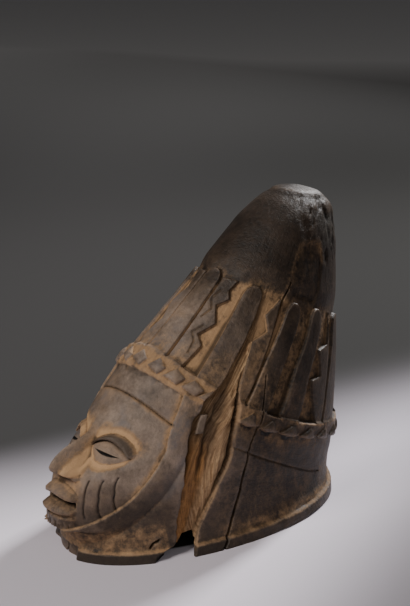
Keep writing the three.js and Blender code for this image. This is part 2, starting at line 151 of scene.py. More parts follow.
# Plates between a zigzag edge and a straight one, as the straight edge's turn and the zigzag's corners
PLATES = [
    (16.5, [(27, 0.60), (31.5, 0.665), (25, 0.682), (32, 0.71), (25, 0.744), (32, 0.762), (28, 0.778),
            (31, 0.80)]),
    (69, [(63, 0.578), (59.5, 0.64), (60, 0.667), (56.5, 0.694), (65.8, 0.727), (60.5, 0.755), (68, 0.79)]),
    (119.5, [(115, 0.577), (108, 0.634), (104.5, 0.667), (112, 0.68), (108, 0.723), (117, 0.738),
             (120, 0.79)]),
    (-5, [(-13, 0.60), (-19, 0.65), (-13, 0.685), (-20, 0.725), (-13, 0.76), (-18, 0.80)]),
]

# Fine cuts beside the first plate's zigzag
PLATE_CUTS = [
    [(21.5, 0.775), (18.5, 0.755), (23.5, 0.735), (20, 0.715)],
    [(25, 0.700), (20.5, 0.683), (25.5, 0.668), (26.5, 0.645)],
]

# The band's lozenges and teeth: their turns, and their corners from there and from the band's middle
LOZENGES = [-52, -40.2, -28, -14.5, 0, 15, 28, 40.2, 51]
LOZENGE = [(-6, -0.006), (3, -0.017), (6, 0.002), (-1, 0.017)]
TEETH = [75.5, 88, 99, 110.5, 123, 137] + [152 + 138 / 7 * i for i in range(8)]
TOOTH = [(-6, -0.021), (5, -0.023), (1.5, 0.010), (-0.5, 0.012)]

CHEEK_CUTS = [
    [(18.4, 0.29), (18.3, 0.27), (18.4, 0.25), (18.6, 0.23), (18.5, 0.21), (18.9, 0.19), (19.5, 0.178)],
    [(24.6, 0.295), (24.3, 0.277), (24.3, 0.26), (24.6, 0.24), (24.5, 0.22), (24.8, 0.20), (25.6, 0.182)],
    [(29.8, 0.305), (29.4, 0.29), (29.5, 0.275), (29.9, 0.26), (29.8, 0.242), (30.3, 0.225), (31.0, 0.206)],
]
CRACKS = [
    [(68.5, 0), (74, 0.124), (80, 0.27), (84, 0.41), (83, 0.51), (82, 0.556), (77, 0.615), (73.5, 0.652)],
    [(69.8, 0.60), (69.6, 0.66), (69.6, 0.73), (71, 0.785), (73.8, 0.824)],
    [(-2.6, 0), (-2.2, 0.02), (-2.4, 0.04)],
    [(43, 0.06), (44.4, 0.078), (46.5, 0.088)],
]
# The worn channel: step, left turn, right turn, depth at the left, middle and right
CHANNEL = np.array([
    (0.00, 52, 58.5, 7, 9, 8), (0.09, 53, 60.8, 7, 9, 7), (0.138, 53.8, 63.2, 6, 8, 7),
    (0.185, 55.4, 65.9, 6, 8, 6), (0.244, 56.5, 69, 6, 8, 6), (0.30, 57.3, 71.6, 6, 7, 6),
    (0.362, 56.2, 74.6, 7, 8, 6), (0.417, 54.4, 76, 8, 8, 6.5), (0.463, 52, 75.2, 9, 8, 6.5),
    (0.511, 49.6, 72.4, 9, 8, 6.5), (0.565, 49, 68.4, 8, 7, 6.5), (0.61, 52.5, 63, 7, 4, 3),
    (0.66, 53, 60.5, 5, 3, 1), (0.72, 53.3, 58, 5, 3, 1), (0.785, 53.5, 56, 3, 2, 1),
])
EAR_STUB = [(51.4, 0.526), (54.8, 0.532), (58.0, 0.478), (54.6, 0.470)]
# The gap in the rim, as turns and heights
RIM_BREAK = [(45.5, -4), (46, 6), (48.5, 10), (51, 12), (52.3, 19), (56.5, 20.5), (58, 10), (58.6, -4)]
CROWN_PATCH = [
    (72.5, 0.815), (73, 0.85), (76, 0.892), (88, 0.902), (99, 0.902), (104, 0.875),
    (103, 0.83), (101, 0.80), (84, 0.80),
]


def smooth(low, high, value):
    t = np.clip((value - low) / (high - low), 0, 1)
    return t * t * (3 - 2 * t)


def fade(low, high, value):
    return 1 - smooth(low, high, value)


def within(low, full, still_full, high, value):
    """1 between the two middle limits and 0 outside the outer ones."""
    return smooth(low, full, value) * fade(still_full, high, value)


def seen_side(turn, low=-60):
    """1 over the turns that the camera sees."""
    return within(low, -50, 150, 165, turn)


def bell(value):
    return np.exp(-value * value)


def mix(a, b, t):
    return a + (b - a) * t


def curve_slopes(table):
    """Slopes of a smooth curve through the rows, whose first column is the step."""
    steps = table[:, :1]
    chords = np.diff(table, axis=0) / np.diff(steps, axis=0)
    before, after = np.diff(steps, axis=0)[:-1], np.diff(steps, axis=0)[1:]
    slopes = np.zeros_like(table)
    slopes[1:-1] = (chords[:-1] * after + chords[1:] * before) / (before + after)
    slopes[0] = chords[0] + (chords[0] - slopes[1]) / 2
    slopes[-1] = chords[-1] + (chords[-1] - slopes[-2]) / 2
    return slopes


SLOPES = curve_slopes(SLICES)


def slice_at(step):
    """Front y, front z, back y, back z, half width and widest y of the slice at each step."""
    step = np.asarray(step, float)
    row = np.clip(np.searchsorted(SLICES[:, 0], step, side="right") - 1, 0, len(SLICES) - 2)
    span = (SLICES[row + 1, 0] - SLICES[row, 0])[..., None]
    t = (step[..., None] - SLICES[row, :1]) / span
    values = (
        (2 * t**3 - 3 * t**2 + 1) * SLICES[row]
        + (t**3 - 2 * t**2 + t) * span * SLOPES[row]
        + (3 * t**2 - 2 * t**3) * SLICES[row + 1]
        + (t**3 - t**2) * span * SLOPES[row + 1]
    )
    return np.moveaxis(values[..., 1:], -1, 0)


def skin(turn, step, scale=1.0):
    """Points of the smooth skin; turn is in degrees round the head, 0 in front and 90 at its left."""
    front_y, front_z, back_y, back_z, half, wide = slice_at(step)
    along = np.cos(np.radians(turn))
    across = np.sin(np.radians(turn))
    # The back half is a little fuller than an ellipse
    reach = np.where(along > 0, along * (front_y - wide), np.abs(along) ** 0.95 * (back_y - wide))
    side = np.where(along > 0, across, np.sign(across) * np.abs(across) ** 0.95)
    depth = back_y - front_y
    tilt = np.where(depth > 1, (back_z - front_z) / np.maximum(depth, 1), 0)
    y = wide + reach * scale
    return np.stack([half * side * scale, y, front_z + (y - front_y) * tilt], -1)


def unit(vectors):
    return vectors / np.maximum(np.linalg.norm(vectors, axis=-1, keepdims=True), 1e-9)


def skin_ways(turn, step):
    """How the skin runs per degree of turn and per step."""
    around = skin(turn + 0.5, step) - skin(turn - 0.5, step)
    low = np.maximum(step - 0.004, 0)
    high = np.minimum(step + 0.004, 0.9999)
    up = (skin(turn, high) - skin(turn, low)) / (high - low)[..., None]
    return around, up


def along_skin(corners, closed=False, spacing=1.5):
    """Closely spaced points along a line of (turn, step) corners."""
    corners = list(corners)
    ends = corners[1:] + corners[:1] if closed else corners[1:]
    found = []
    for (turn_a, step_a), (turn_b, step_b) in zip(corners, ends):
        count = int(math.hypot((turn_b - turn_a) * TURN_MM, (step_b - step_a) * STEP_MM) / spacing) + 1
        for i in range(count):
            found.append((mix(turn_a, turn_b, i / count), mix(step_a, step_b, i / count)))
    found.append(corners[0] if closed else corners[-1])
    found = np.array(found)
    return skin(found[:, 0], found[:, 1])


def path_distance(points, path, reach=12.0):
    """Distance of each point from a path, and how far along the path its nearest place is (0 to 1)."""
    best = np.full(len(points), 1e3)
    place = np.zeros(len(points))
    near = np.all((points > path.min(0) - reach) & (points < path.max(0) + reach), axis=1)
    index = np.nonzero(near)[0]
    if len(index) == 0:
        return best, place
    local = points[index]
    least = np.full(len(index), 1e6)
    where = np.zeros(len(index))
    pieces = len(path) - 1
    for i in range(pieces):
        start, way = path[i], path[i + 1] - path[i]
        length = way @ way
        if length < 1e-9:
            continue
        t = np.clip((local - start) @ way / length, 0, 1)
        gap = local - start - t[:, None] * way
        square = np.einsum("ij,ij->i", gap, gap)
        closer = square < least
        least = np.where(closer, square, least)
        where = np.where(closer, (i + t) / pieces, where)
    best[index] = np.sqrt(least)
    place[index] = where
    return best, place


def inside_outline(x, y, outline):
    """Even-odd test of points against a closed outline of (x, y) corners."""
    inside = np.zeros(len(x), bool)
    for (xa, ya), (xb, yb) in zip(outline, outline[1:] + outline[:1]):
        crosses = (ya > y) != (yb > y)
        if ya == yb:
            continue
        at = xa + (y - ya) * (xb - xa) / (yb - ya)
        inside ^= crosses & (x < at)
    return inside


def scatter(points, size, seed):
    """Smooth noise from -1 to 1 whose features are about size across."""
    shift = Vector((seed * 17.3, seed * 5.1, seed * 9.7))
    return np.array([noise.noise(Vector(p) + shift) for p in np.asarray(points) / size])


class Carving:
    """The carved form over points given by turn and step."""

    def __init__(self, turn, step):
        self.turn, self.step = turn, step
        self.base = skin(turn, step)
        around, up = skin_ways(turn, step)
        cross = np.cross(around, up)
        area = np.linalg.norm(cross, axis=-1)
        self.normal = unit(cross)
        self.turn_mm = area / np.maximum(np.linalg.norm(up, axis=-1), 1e-6)
        self.step_mm = area / np.maximum(np.linalg.norm(around, axis=-1), 1e-6)
        self.x, self.z = self.base[:, 0], self.base[:, 2]
        self.facing = smooth(0.3, 0.6, np.cos(np.radians(turn))) * fade(0.49, 0.5, step)
        self.carve()

    def line(self, corners):
        """Distance from a line of (turn, step) corners, in millimetres."""
        return path_distance(self.base, along_skin(corners))[0]

    def depth_inside(self, outline):
        """Distance inside a closed outline of (turn, step) corners, less than 0 outside."""
        distance = path_distance(self.base, along_skin(outline, closed=True))[0]
        return np.where(inside_outline(self.turn, self.step, outline), distance, -distance)

    def area(self, outline, soft=0.8):
        """1 inside a closed outline of (turn, step) corners and 0 outside, with a soft edge."""
        return smooth(-soft, soft, self.depth_inside(outline))

    def facet(self, outline, rise):
        """A shape that stands up steeply at its edge and rises on to a ridge."""
        depth = self.depth_inside(outline)
        return smooth(-0.6, 0.6, depth) * (rise + 0.42 * np.clip(depth, 0, 3.5))

    def carve(self):
        """Height over the smooth skin, and push forward at the face, in millimetres."""
        height = -GROUND_DEPTH * self.coiffure_ground()
        height = self.raise_strap(self.raise_band(self.raise_strips(height))) + self.rim_border()
        self.height = self.wear_channel(self.cut_lines(height))
        self.forward = self.facing * self.face_forward() + self.face_features()
        self.detail = self.height + self.feature_forward

    def coiffure_ground(self):
        foot = band_middle(self.turn) + BAND_HALF
        top = COIFFURE_TOP + 0.006 * np.sin(np.radians(self.turn * 9))
        self.ground = within(foot - 0.002, foot + 0.008, top, top + 0.035, self.step)
        return self.ground

    def raise_strips(self, height):
        raised = np.zeros_like(height)
        self.strip = np.zeros_like(height)
        outlines = [(STRIP_RISE, finger_outline(*finger)) for finger in FINGERS]
        for beside, edge in PLATES:
            outlines.append((PLATE_RISE, [*edge, (beside, edge[-1][1]), (beside, edge[0][1])]))
        for rise, outline in outlines:
            mask = self.area(outline)
            self.strip = np.maximum(self.strip, mask)
            raised = np.maximum(raised, rise * mask)
        self.patch = self.area(CROWN_PATCH, soft=1.2)
        self.patch_edge = bell(self.line(CROWN_PATCH[:6]) / 5.0)
        return height + raised - PATCH_DEPTH * self.patch * (1 - self.strip)

    def raise_band(self, height):
        middle = band_middle(self.turn)
        off = (self.step - middle) * self.step_mm
        half = BAND_HALF * self.step_mm
        beside_tooth = np.min(np.abs(turn_gap(self.turn[:, None], np.array(TEETH))), axis=1) / 6
        low = half * (1 - 0.42 * np.clip(beside_tooth, 0, 1) * smooth(70, 74, np.abs(self.turn - 8) + 8))
        edge = np.where(off > 0, half - off, low + off)
        lost = within(53, 54.5, 65.5, 67, self.turn)
        self.band = smooth(-0.7, 0.7, edge) * (1 - lost)
        slope = np.clip(off / np.maximum(half, 1e-3), -1, 1)
        level = BAND_RISE + 0.4 * slope
        motif = np.zeros_like(height)
        for turns, corners, rise, lean in ((LOZENGES, LOZENGE, 1.9, 1.1), (TEETH, TOOTH, 1.5, 0.5)):
            for turn in turns:
                outline = [(turn + across, band_middle(turn) + up) for across, up in corners]
                motif = np.maximum(motif, self.facet(outline, rise - lean * slope))
        self.motif = np.clip(motif, 0, 1)
        # The band's top edge, which the finish paints with a highlight
        self.band_top = self.band * bell((half - off) / 1.8)
        return mix(height, level + motif, self.band)

    def raise_strap(self, height):
        inner, outer = ([strap_edge(*reach, t) for t in range(-120, 121, 6)]
                        for reach in (STRAP_INNER, STRAP_OUTER))
        to_inner, to_outer = self.line(inner), self.line(outer)
        inside = inside_outline(self.turn, self.step, inner + outer[::-1])
        share = to_inner / np.maximum(to_inner + to_outer, 1e-6)
        sharp = smooth(-0.7, 0.7, np.where(inside, to_inner, -to_inner))
        past = inside_outline(self.turn, self.step, outer)
        self.strap = np.where(inside | (share < 0.5), sharp, 0) * past
        self.strap_edge = bell(to_inner / 1.2) * past
        self.beside_strap = bell(to_inner / 6.0) * inside_outline(self.turn, self.step, inner)
        rise = mix(*STRAP_RISE, smooth(0.25, 1.0, share))
        groove = STRAP_GROOVE * bell(to_outer / 2.6) * (self.step < 0.52)
        self.strap_groove = bell(to_outer / 3.5) * (self.step < 0.52)
        return height + (self.strap * rise - groove) * (1 - self.band)

    def rim_border(self):
        turn, step = self.turn, self.step
        worn = within(-26, -18, 6, 10, turn)
        uneven = 0.002 * np.sin(np.radians(turn * 17)) + 0.0015 * np.sin(np.radians(turn * 47))
        edge = fade(0.044, 0.052, step + uneven)
        self.rim = edge * (1 - worn)
        wavy = 0.003 * scatter(self.base, 22, 12)
        # The rim's top ledge, which the finish paints with ochre dust and a highlight
        self.ledge = bell((step - 0.046 + wavy) / 0.008) * (1 - worn)
        return (RIM_BORDER - (RIM_BORDER + 3) * worn) * edge

    def cut_lines(self, height):
        cut = np.zeros_like(height)
        thin = np.full(len(height), 1e3)
        for line in CHEEK_CUTS:
            for side in (1, -1):
                distance = self.line([(turn * side, step) for turn, step in line])
                cut = np.maximum(cut, CHEEK_CUT * bell(distance / 0.8))
                thin = np.minimum(thin, distance)
        self.cheek = np.clip(cut / CHEEK_CUT, 0, 1)
        hairline = self.line([(turn, hairline_step(turn)) for turn in range(-42, 43, 6)])
        nape = self.line([(turn, nape_step(turn)) for turn in range(73, 133, 6)])
        inner = np.minimum(*(self.line(line) for line in PLATE_CUTS))
        cut = np.maximum.reduce([cut, HAIRLINE_CUT * bell(hairline / 1.0), NAPE_CUT * bell(nape / 1.1),
                                 PLATE_CUT * bell(inner / 0.9)])
        self.lines = np.maximum.reduce([bell(hairline / 1.5), 0.7 * bell(nape / 1.5), bell(inner / 1.2)])
        self.under_hair = bell(hairline / 5.0) * (self.step < hairline_step(self.turn))
        thin = np.minimum.reduce([thin, hairline, inner])
        self.crack = np.zeros_like(height)
        for line in CRACKS:
            distance, place = path_distance(self.base, along_skin(line))
            wide = 1.5 * np.sqrt(np.clip(1.15 - place, 0.2, 1)) if line is CRACKS[0] else 1.2
            self.crack = np.maximum(self.crack, fade(0.45 * wide, 1.05 * wide, distance))
            thin = np.minimum(thin, distance)
        self.thin = thin
        return height - cut - CRACK_DEPTH * self.crack

    def wear_channel(self, height):
        turn, step = self.turn, self.step
        left, right, deep_left, deep, deep_right = (
            np.interp(step, CHANNEL[:, 0], column) for column in CHANNEL.T[1:])
        left = left + 0.9 * scatter(np.stack([step * 40, 0 * step, 0 * step], -1), 1.0, 5)
        place = (turn - left) / (right - left)
        wide = (right - left) * self.turn_mm
        depth = np.where(place < 0.5, mix(deep_left, deep, smooth(0.1, 0.5, place)),
                         mix(deep, deep_right, smooth(0.5, 0.86, place)))
        into = np.minimum(place * wide / 2.2, (1 - place) * wide / 1.4)
        end = fade(0.785, 0.81, step)
        self.raw = smooth(0.0, 1.0, into) * end
        near = (place > -0.3) & (place < 1.3) & (step < 0.83)
        fibre = np.zeros_like(height)
        index = np.nonzero(near)[0]
        across = (turn - left)[index] * self.turn_mm[index]
        down = step[index] * STEP_MM
        fibre[index] = (
            1.3 * scatter(np.stack([across / 3.4, down / 70, 0 * down], -1), 1.0, 1)
            + 1.1 * scatter(np.stack([across / 1.7, down / 45, 0 * down], -1), 1.0, 2)
        )

        def stripe(middle, half, *limits):
            """A stripe down the channel that fades at both ends."""
            return bell((place - middle) / half) * within(*limits, step)

        # A broad ridge at the right with a dark groove at its side; then a shaded bed, a trough, a low ridge
        # and a slot at the left
        ridge = stripe(0.77, 0.14, 0.12, 0.3, 0.60, 0.63)
        groove = stripe(0.955, 0.035, 0.26, 0.34, 0.60, 0.66)
        bed = stripe(0.42, 0.2, 0.36, 0.42, 0.58, 0.62)
        trough = stripe(0.39, 0.05, 0.30, 0.36, 0.60, 0.64)
        low_ridge = stripe(0.23, 0.08, 0.31, 0.35, 0.44, 0.48)
        slot = stripe(0.06, 0.05, 0.30, 0.34, 0.46, 0.50)
        # The slot, groove, trough and bed are painted in shade in the finish
        self.slot = np.maximum.reduce([0.9 * slot, 1.25 * groove, 0.9 * trough, 0.72 * bed * (1 - low_ridge)])
        self.low_raw = fade(0.45, 0.62, place) * fade(0.40, 0.5, step)
        self.beside = bell((1 - place) * wide / 1.6) * (place > 0.96) * (step < 0.62)
        depth = depth - 4.0 * ridge - 2.0 * low_ridge - fibre + 2.0 * trough + 2.5 * slot + 4.5 * groove
        height = np.minimum(height, mix(height, -depth, self.raw))
        self.stub = self.area(EAR_STUB, 0.6)
        return mix(height, np.maximum(height, -0.6), self.stub)

    def face_forward(self):
        """Muzzle, eye sockets and the gap between the lips, as a push forward."""
        side, z = np.abs(self.x), self.z
        upper = smooth(MUZZLE["high"] - 14, MUZZLE["high"] + 22, z)
        level = mix(MUZZLE["rise"], MUZZLE["brow"], upper) * fade(112, 140, z)
        muzzle = smooth(MUZZLE["low"], MUZZLE["low"] + 5, z)
        wide = fade(MUZZLE["half"], MUZZLE["fade"], side)
        across = (side - SOCKET["x"]) / SOCKET["wide"]
        self.socket = bell(across**2 + ((z - SOCKET["z"]) / SOCKET["tall"]) ** 2)
        gap_z = MOUTH_GAP["z"] - MOUTH_GAP["drop"] * (side / MOUTH_GAP["half"]) ** 2
        between = fade(MOUTH_GAP["half"] - 2, MOUTH_GAP["half"] + 2, side)
        tall = MOUTH_GAP["tall"] * (0.75 + 0.5 * (side / MOUTH_GAP["half"]) ** 2)
        gap = between * bell(((z - gap_z) / tall) ** 2)
        self.gap = gap * self.facing
        return level * muzzle * wide - SOCKET["sink"] * self.socket - MOUTH_GAP["deep"] * gap

    def face_features(self):
        """Nose, lips, chin and eyes, as a push forward."""
        on_face = np.nonzero((self.facing > 0.05) & (self.z > 20) & (self.z < 130))[0]
        x, z = self.x[on_face], self.z[on_face]
        side = np.abs(x)
        push = np.maximum.reduce([nose_rise(x, z), *(lip_rise(x, z, **lip) for lip in LIPS), chin_rise(x, z)])
        nostril = bell(np.hypot((side - 8.0) / 3.6, (z - 85.5) / 2.2))
        wing = bell((np.hypot((side - 3) / 17.5, (z - 92) / 9) - 1) / 0.08) * smooth(12, 16, side)
        push -= 2.5 * nostril + 0.8 * wing * (z < 98)
        eye, lid, rim, opening, under_lid = eye_rise(side, z)
        for name, values in (("feature_forward", np.maximum(push, eye)), ("lid", lid), ("eye_rim", rim),
                             ("opening", opening), ("under_lid", under_lid), ("nostril", nostril)):
            full = np.zeros(len(self.x))
            full[on_face] = values
            setattr(self, name, full)
        return self.feature_forward

    def points(self):
        """The carved points in millimetres; near the rim the carving stands out level."""
        level = self.normal * np.array([1, 1, 0])
        low = (self.step < 0.06)[:, None]
        way = np.where(low, unit(level), self.normal)
        points = self.base + way * self.height[:, None]
        points[:, 1] -= self.forward
        return points


def finger_outline(foot, top, half, end):
    """Corners of a strip with a round top."""
    low = band_middle(foot) + BAND_HALF - 0.006
    steps = list(np.linspace(low, end - FINGER_ROUND, 8))
    steps += [end - FINGER_ROUND * k for k in (0.8, 0.6, 0.4, 0.25, 0.12, 0.03)]
    left, right = [], []
    for step in steps:
        rest = min(max((end - step) / FINGER_ROUND, 0), 1)
        reach = half * math.sqrt(1 - (1 - rest) ** 2)
        middle = mix(foot, top, float(smooth(0.66, end, step)))
        left.append((middle - reach, step))
        right.append((middle + reach, step))
    return left + right[::-1]


def turn_gap(turn, other):
    """Degrees from one turn to another, the short way."""
    return (turn - other + 180) % 360 - 180


def band_middle(turn):
    return 0.576 + 0.026 * np.cos(2 * np.radians(turn))


def hairline_step(turn):
    return 0.516 - 0.038 * (turn / HAIRLINE_REACH) ** 2


def nape_step(turn):
    return 0.455 - 0.2 * (max(turn - 73, 0) / 59) ** 1.6


def strap_edge(turn, step, t):
    """A point of the strap's half ellipse, opened upward past its ends."""
    if abs(t) <= 90:
        return turn * math.sin(math.radians(t)), STRAP_TOP - step * math.cos(math.radians(t))
    rise = (abs(t) - 90) / 30 * 0.16
    return math.copysign(turn - 44 * rise, t), STRAP_TOP + rise


def nose_rise(x, z):
    drop = NOSE_DROOP * fade(90, 100, z)
    half = np.interp(z, NOSE[:, 0], NOSE[:, 1])
    across = np.clip(np.abs(x) / half, 0, 1)
    lowered = z + drop * across**2
    half = np.interp(lowered, NOSE[:, 0], NOSE[:, 1])
    rise = np.interp(lowered, NOSE[:, 0], NOSE[:, 2], left=0, right=0)
    off = np.abs(x) / half
    profile = np.where(off > 0.5, np.clip(1 - off, 0, 1) ** 0.65, 1 - 1.55 * off**2)
    wing = 5.5 * bell(np.hypot((np.abs(x) - 12.5) / 5.5, (z - 90) / 4.5)) * (z > 85)
    return np.maximum(rise * profile + wing, 0)


def lip_rise(x, z, middle, drop, tall, rise):
    t = np.clip(np.abs(x) / LIP_HALF, 0, 1)
    taper = np.sqrt(1 - 0.75 * t**4)
    up = (z - middle + drop * t**2) / (tall * taper)
    section = np.interp(up, [-1.25, -1, -0.45, 0.25, 0.85, 1.15], [0, 0.45, 0.92, 1.0, 0.62, 0])
    ends = fade(LIP_HALF - 0.5, LIP_HALF + 1.5, np.abs(x))
    return rise * section * taper * ends


def chin_rise(x, z):
    t = np.clip(np.abs(x) / CHIN["half"], 0, 1)
    out = CHIN["rise"] * np.sqrt(1 - 0.8 * t**4) * fade(CHIN["half"] - 0.5, CHIN["half"] + 2, np.abs(x))
    top, bottom = CHIN["top"], CHIN["bottom"]
    level = np.interp(z, [bottom - 2, bottom + 2, top - 3, top + 1], [0, 1, 1, 0.2]) * (z < top + 1.2)
    notch = 2.2 * (0.5 + 0.5 * np.cos(x * 2 * math.pi / 4.4)) ** 2 * fade(38, 44, z) * (level > 0.05)
    return np.maximum(out * level - notch, 0)


def eye_rise(side, z):
    """Push of the eyeball and its lid, and masks of the lid, socket rim, open eye and the lid's underside."""
    c, s = math.cos(math.radians(EYE["tilt"])), math.sin(math.radians(EYE["tilt"]))
    along = (side - EYE["x"]) * c + (z - EYE["z"]) * s
    above = -(side - EYE["x"]) * s + (z - EYE["z"]) * c
    t = np.clip(along / EYE["half"], -1, 1)
    open_up = EYE["upper"] * (1 - t**2) ** 0.8 * (1 - 0.4 * t)
    open_down = EYE["lower"] * (1 - t**2) ** 0.8
    reach = np.where(above > 0, open_up, open_down)
    share = np.abs(above) / np.maximum(reach, 1e-3)
    ball = EYE["bulge"] * np.sqrt(1 - t**2) * np.sqrt(np.clip(1 - 0.9 * share**2, 0, 1)) * (share < 1)
    ends = fade(EYE["half"] - 1, EYE["half"] + 2, np.abs(along))
    wide = EYE["lid"] * (0.45 + 0.55 * (1 - t**2)) * (1 + 0.15 * t)
    over = above - open_up
    lid = within(-0.8, 0.3, wide - 0.3, wide + 0.9, over) * ends
    lower = bell((above + open_down + 0.6) / 1.1) * ends
    rim = within(wide - 0.6, wide + 1.2, wide + 3, wide + 11, over) * ends
    rim = np.maximum(rim, within(0.2, 1.5, 3, 9, -above - open_down) * ends)
    roll = 1 - 0.35 * (2 * over / np.maximum(wide, 0.1) - 1) ** 2
    push = np.maximum.reduce([ball, 7.2 * lid * np.clip(roll, 0.3, 1), 1.8 * lower])
    above_lid = bell((over - wide - 1.6) / 1.3) * ends
    # The crease under the lid; on the near eye it is also painted in shadow
    under_lid = bell((over + 1.0) / 0.9) * ends
    return push - 1.3 * above_lid - 1.6 * under_lid, lid, rim, (share < 1) * ends, under_lid


# Mesh work

def use_only(piece):
    bpy.ops.object.select_all(action="DESELECT")
    piece.select_set(True)
    bpy.context.view_layer.objects.active = piece


def read_all(items, name, width=1, kind=np.int32):
    """One property of all a mesh's points, edges, corners or faces."""
    values = np.empty(len(items) * width, kind)
    items.foreach_get(name, values)
    return values.reshape(-1, width) if width > 1 else values


def read_points(piece):
    return read_all(piece.data.vertices, "co", 3, float)


def write_points(piece, points):
    piece.data.vertices.foreach_set("co", np.asarray(points, np.float32).ravel())
    piece.data.update()


def read_mark(piece, name):
    return read_all(piece.data.attributes[name].data, "value", kind=np.float32)


def write_marks(piece, made=(), **more):
    """Writes numbers on a piece's points, by name."""
    marks = piece.data.attributes
    for name, values in {**dict(made), **more}.items():
        mark = marks.get(name) or marks.new(name, "FLOAT", "POINT")
        mark.data.foreach_set("value", np.ascontiguousarray(values, np.float32))


def spread(low, high, count, density):
    """count + 1 places from low to high, closer together where the density is higher."""
    fine = np.linspace(low, high, 4000)
    steps = density((fine[:-1] + fine[1:]) / 2)
    total = np.concatenate([[0], np.cumsum(steps)])
    return np.interp(np.linspace(0, total[-1], count + 1), total, fine)


def turn_density(turn):
    """How close the columns lie: even round the rim, and closer on the side that is seen."""
    arc = np.hypot(86 * np.cos(np.radians(turn)), 150 * np.sin(np.radians(turn)))
    return arc * (1 + 0.45 * seen_side(turn))


def step_density(step):
    """How close the rows lie: even up the side and the front, and closer over the face."""
    side, front = (skin_ways(np.full_like(step, turn), step)[1] for turn in (60.0, 10.0))
    length = np.linalg.norm(side, axis=-1) + np.linalg.norm(front, axis=-1)
    return length * (1 + 0.5 * within(0.1, 0.16, 0.42, 0.5, step))


def flat_grid(name, turns, steps):
    """A flat grid whose x is the turn and whose y is the step."""
    bpy.ops.object.select_all(action="DESELECT")
    columns, rows = len(turns) - 1, len(steps) - 1
    bpy.ops.mesh.primitive_grid_add(x_subdivisions=columns, y_subdivisions=rows, size=2)
    piece = bpy.context.object
    piece.name = piece.data.name = name
    flat = read_points(piece)
    flat[:, 0] = np.interp(flat[:, 0], np.linspace(-1, 1, columns + 1), turns)
    flat[:, 1] = np.interp(flat[:, 1], np.linspace(-1, 1, rows + 1), steps)
    write_points(piece, flat)
    return piece


def read_places(piece):
    """The turn and step of a flat grid's points."""
    turn, step, _ = read_points(piece).T
    return turn, np.where(step < 1e-5, 0, np.where(step > 1 - 1e-5, 1, step))


def refine(piece, limit):
    """Divides the faces where the carving changes by more than a limit, at narrow lines and at the seam."""
    turn, step = read_places(piece)
    carving = Carving(turn, step)
    mesh = piece.data
    corners, starts = read_all(mesh.loops, "vertex_index"), read_all(mesh.polygons, "loop_start")

    def least(values):
        return np.minimum.reduceat(values[corners], starts)

    def most(values):
        return np.maximum.reduceat(values[corners], starts)

    first = least(turn)
    change = (most(carving.detail) - least(carving.detail)) * mix(UNSEEN_SHARE, 1.0, seen_side(first, -62))
    at_seam = (first < SEAM + 0.01) | (most(turn) > SEAM + 359.99)
    at_line = (least(carving.thin) < LINE_REACH) & (first > -60) & (first < 165)
    use_only(piece)
    bpy.context.tool_settings.mesh_select_mode = (False, False, True)
    bpy.ops.object.mode_set(mode="EDIT")
    bpy.ops.mesh.select_all(action="DESELECT")
    bpy.ops.object.mode_set(mode="OBJECT")
    mesh.polygons.foreach_set("select", (change > limit) | at_seam | at_line)
    bpy.ops.object.mode_set(mode="EDIT")
    bpy.ops.mesh.subdivide(number_cuts=1, ngon=False, quadcorner="INNERVERT")
    bpy.ops.object.mode_set(mode="OBJECT")


def outer_skin(columns, rows, limits):
    """The carved outside, with marks for the finish."""
    turns = spread(SEAM, SEAM + 360, columns, turn_density)
    steps = spread(0, 1, rows, step_density)
    piece = flat_grid("mask_wood", turns, steps)
    for limit in limits:
        refine(piece, limit)
    turn, step = read_places(piece)
    carving = Carving(turn, step)
    points = carving.points()
    way = carving.normal
    # The tool's marks, the lost flakes of the crown and the worn rim at the back
    rough = 0.35 * scatter(points, 17, 3) + 0.18 * scatter(points, 6, 4)
    calm = within(0.0, 0.03, 0.97, 0.995, step)
    points += way * (rough * calm - 0.35 * calm)[:, None]
    points += way * (crown_wear(points, step) * calm)[:, None]
    points[:, 2] = np.where(step < 1e-6, 0, np.maximum(points[:, 2], 0))
    worn = bell((turn - 113) / 9) + 0.5 * bell((turn - 92) / 4)
    points[:, 2] += 3.2 * worn * fade(0, 0.03, step) * (1 + 0.4 * scatter(points, 5, 9))
    # Nothing stands out past the solid
    points = np.clip(points, *np.array(CAD_BOX) * MM)
    write_points(piece, points)
    write_marks(piece, finish_marks(carving, points), turn=turn, step=step, inside=np.zeros(len(turn)))
    return piece


def crown_wear(points, step):
    """Flakes and pits lost at the back of the crown."""
    place = smooth(95, 125, points[:, 1]) * smooth(225, 262, points[:, 2])
    flakes = smooth(0.0, 0.35, scatter(points * np.array([1, 1, 0.45]), 9, 6))
    pits = smooth(0.35, 0.6, scatter(points, 4, 7))
    return -place * (1.5 * flakes + 1.3 * pits)


def inner_hollow(columns, rows):
    """The smooth hollow inside, open below and closed under the crown."""
    turns = np.linspace(SEAM, SEAM + 360, columns + 1)
    piece = flat_grid("mask_hollow", turns, np.linspace(0, HOLLOW_TOP, rows + 1))
    turn, step = read_places(piece)
    front_y, _, back_y, _, half, wide = slice_at(step)
    along = np.cos(np.radians(turn))
    long = np.where(along > 0, wide - front_y, back_y - wide)
    radius = np.hypot(long * along, half * np.sin(np.radians(turn)))
    rise = np.clip((step - HOLLOW_SHOULDER) / (HOLLOW_TOP - HOLLOW_SHOULDER), 0, 1)
    close = np.where(rise > 0.9999, 0, np.sqrt(1 - rise**2))
    points = skin(turn, step, (1 - WALL / radius) * close)
    gouged = 0.8 * scatter(points, 15, 8) * smooth(0, 0.04, step) * (close > 0.2)
    points += unit(points - np.array([0, 30, 90])) * gouged[:, None]
    points[step < 1e-6, 2] = 0
    write_points(piece, points)
    write_marks(piece, inside=np.ones(len(turn)), turn=turn, step=step)
    return piece


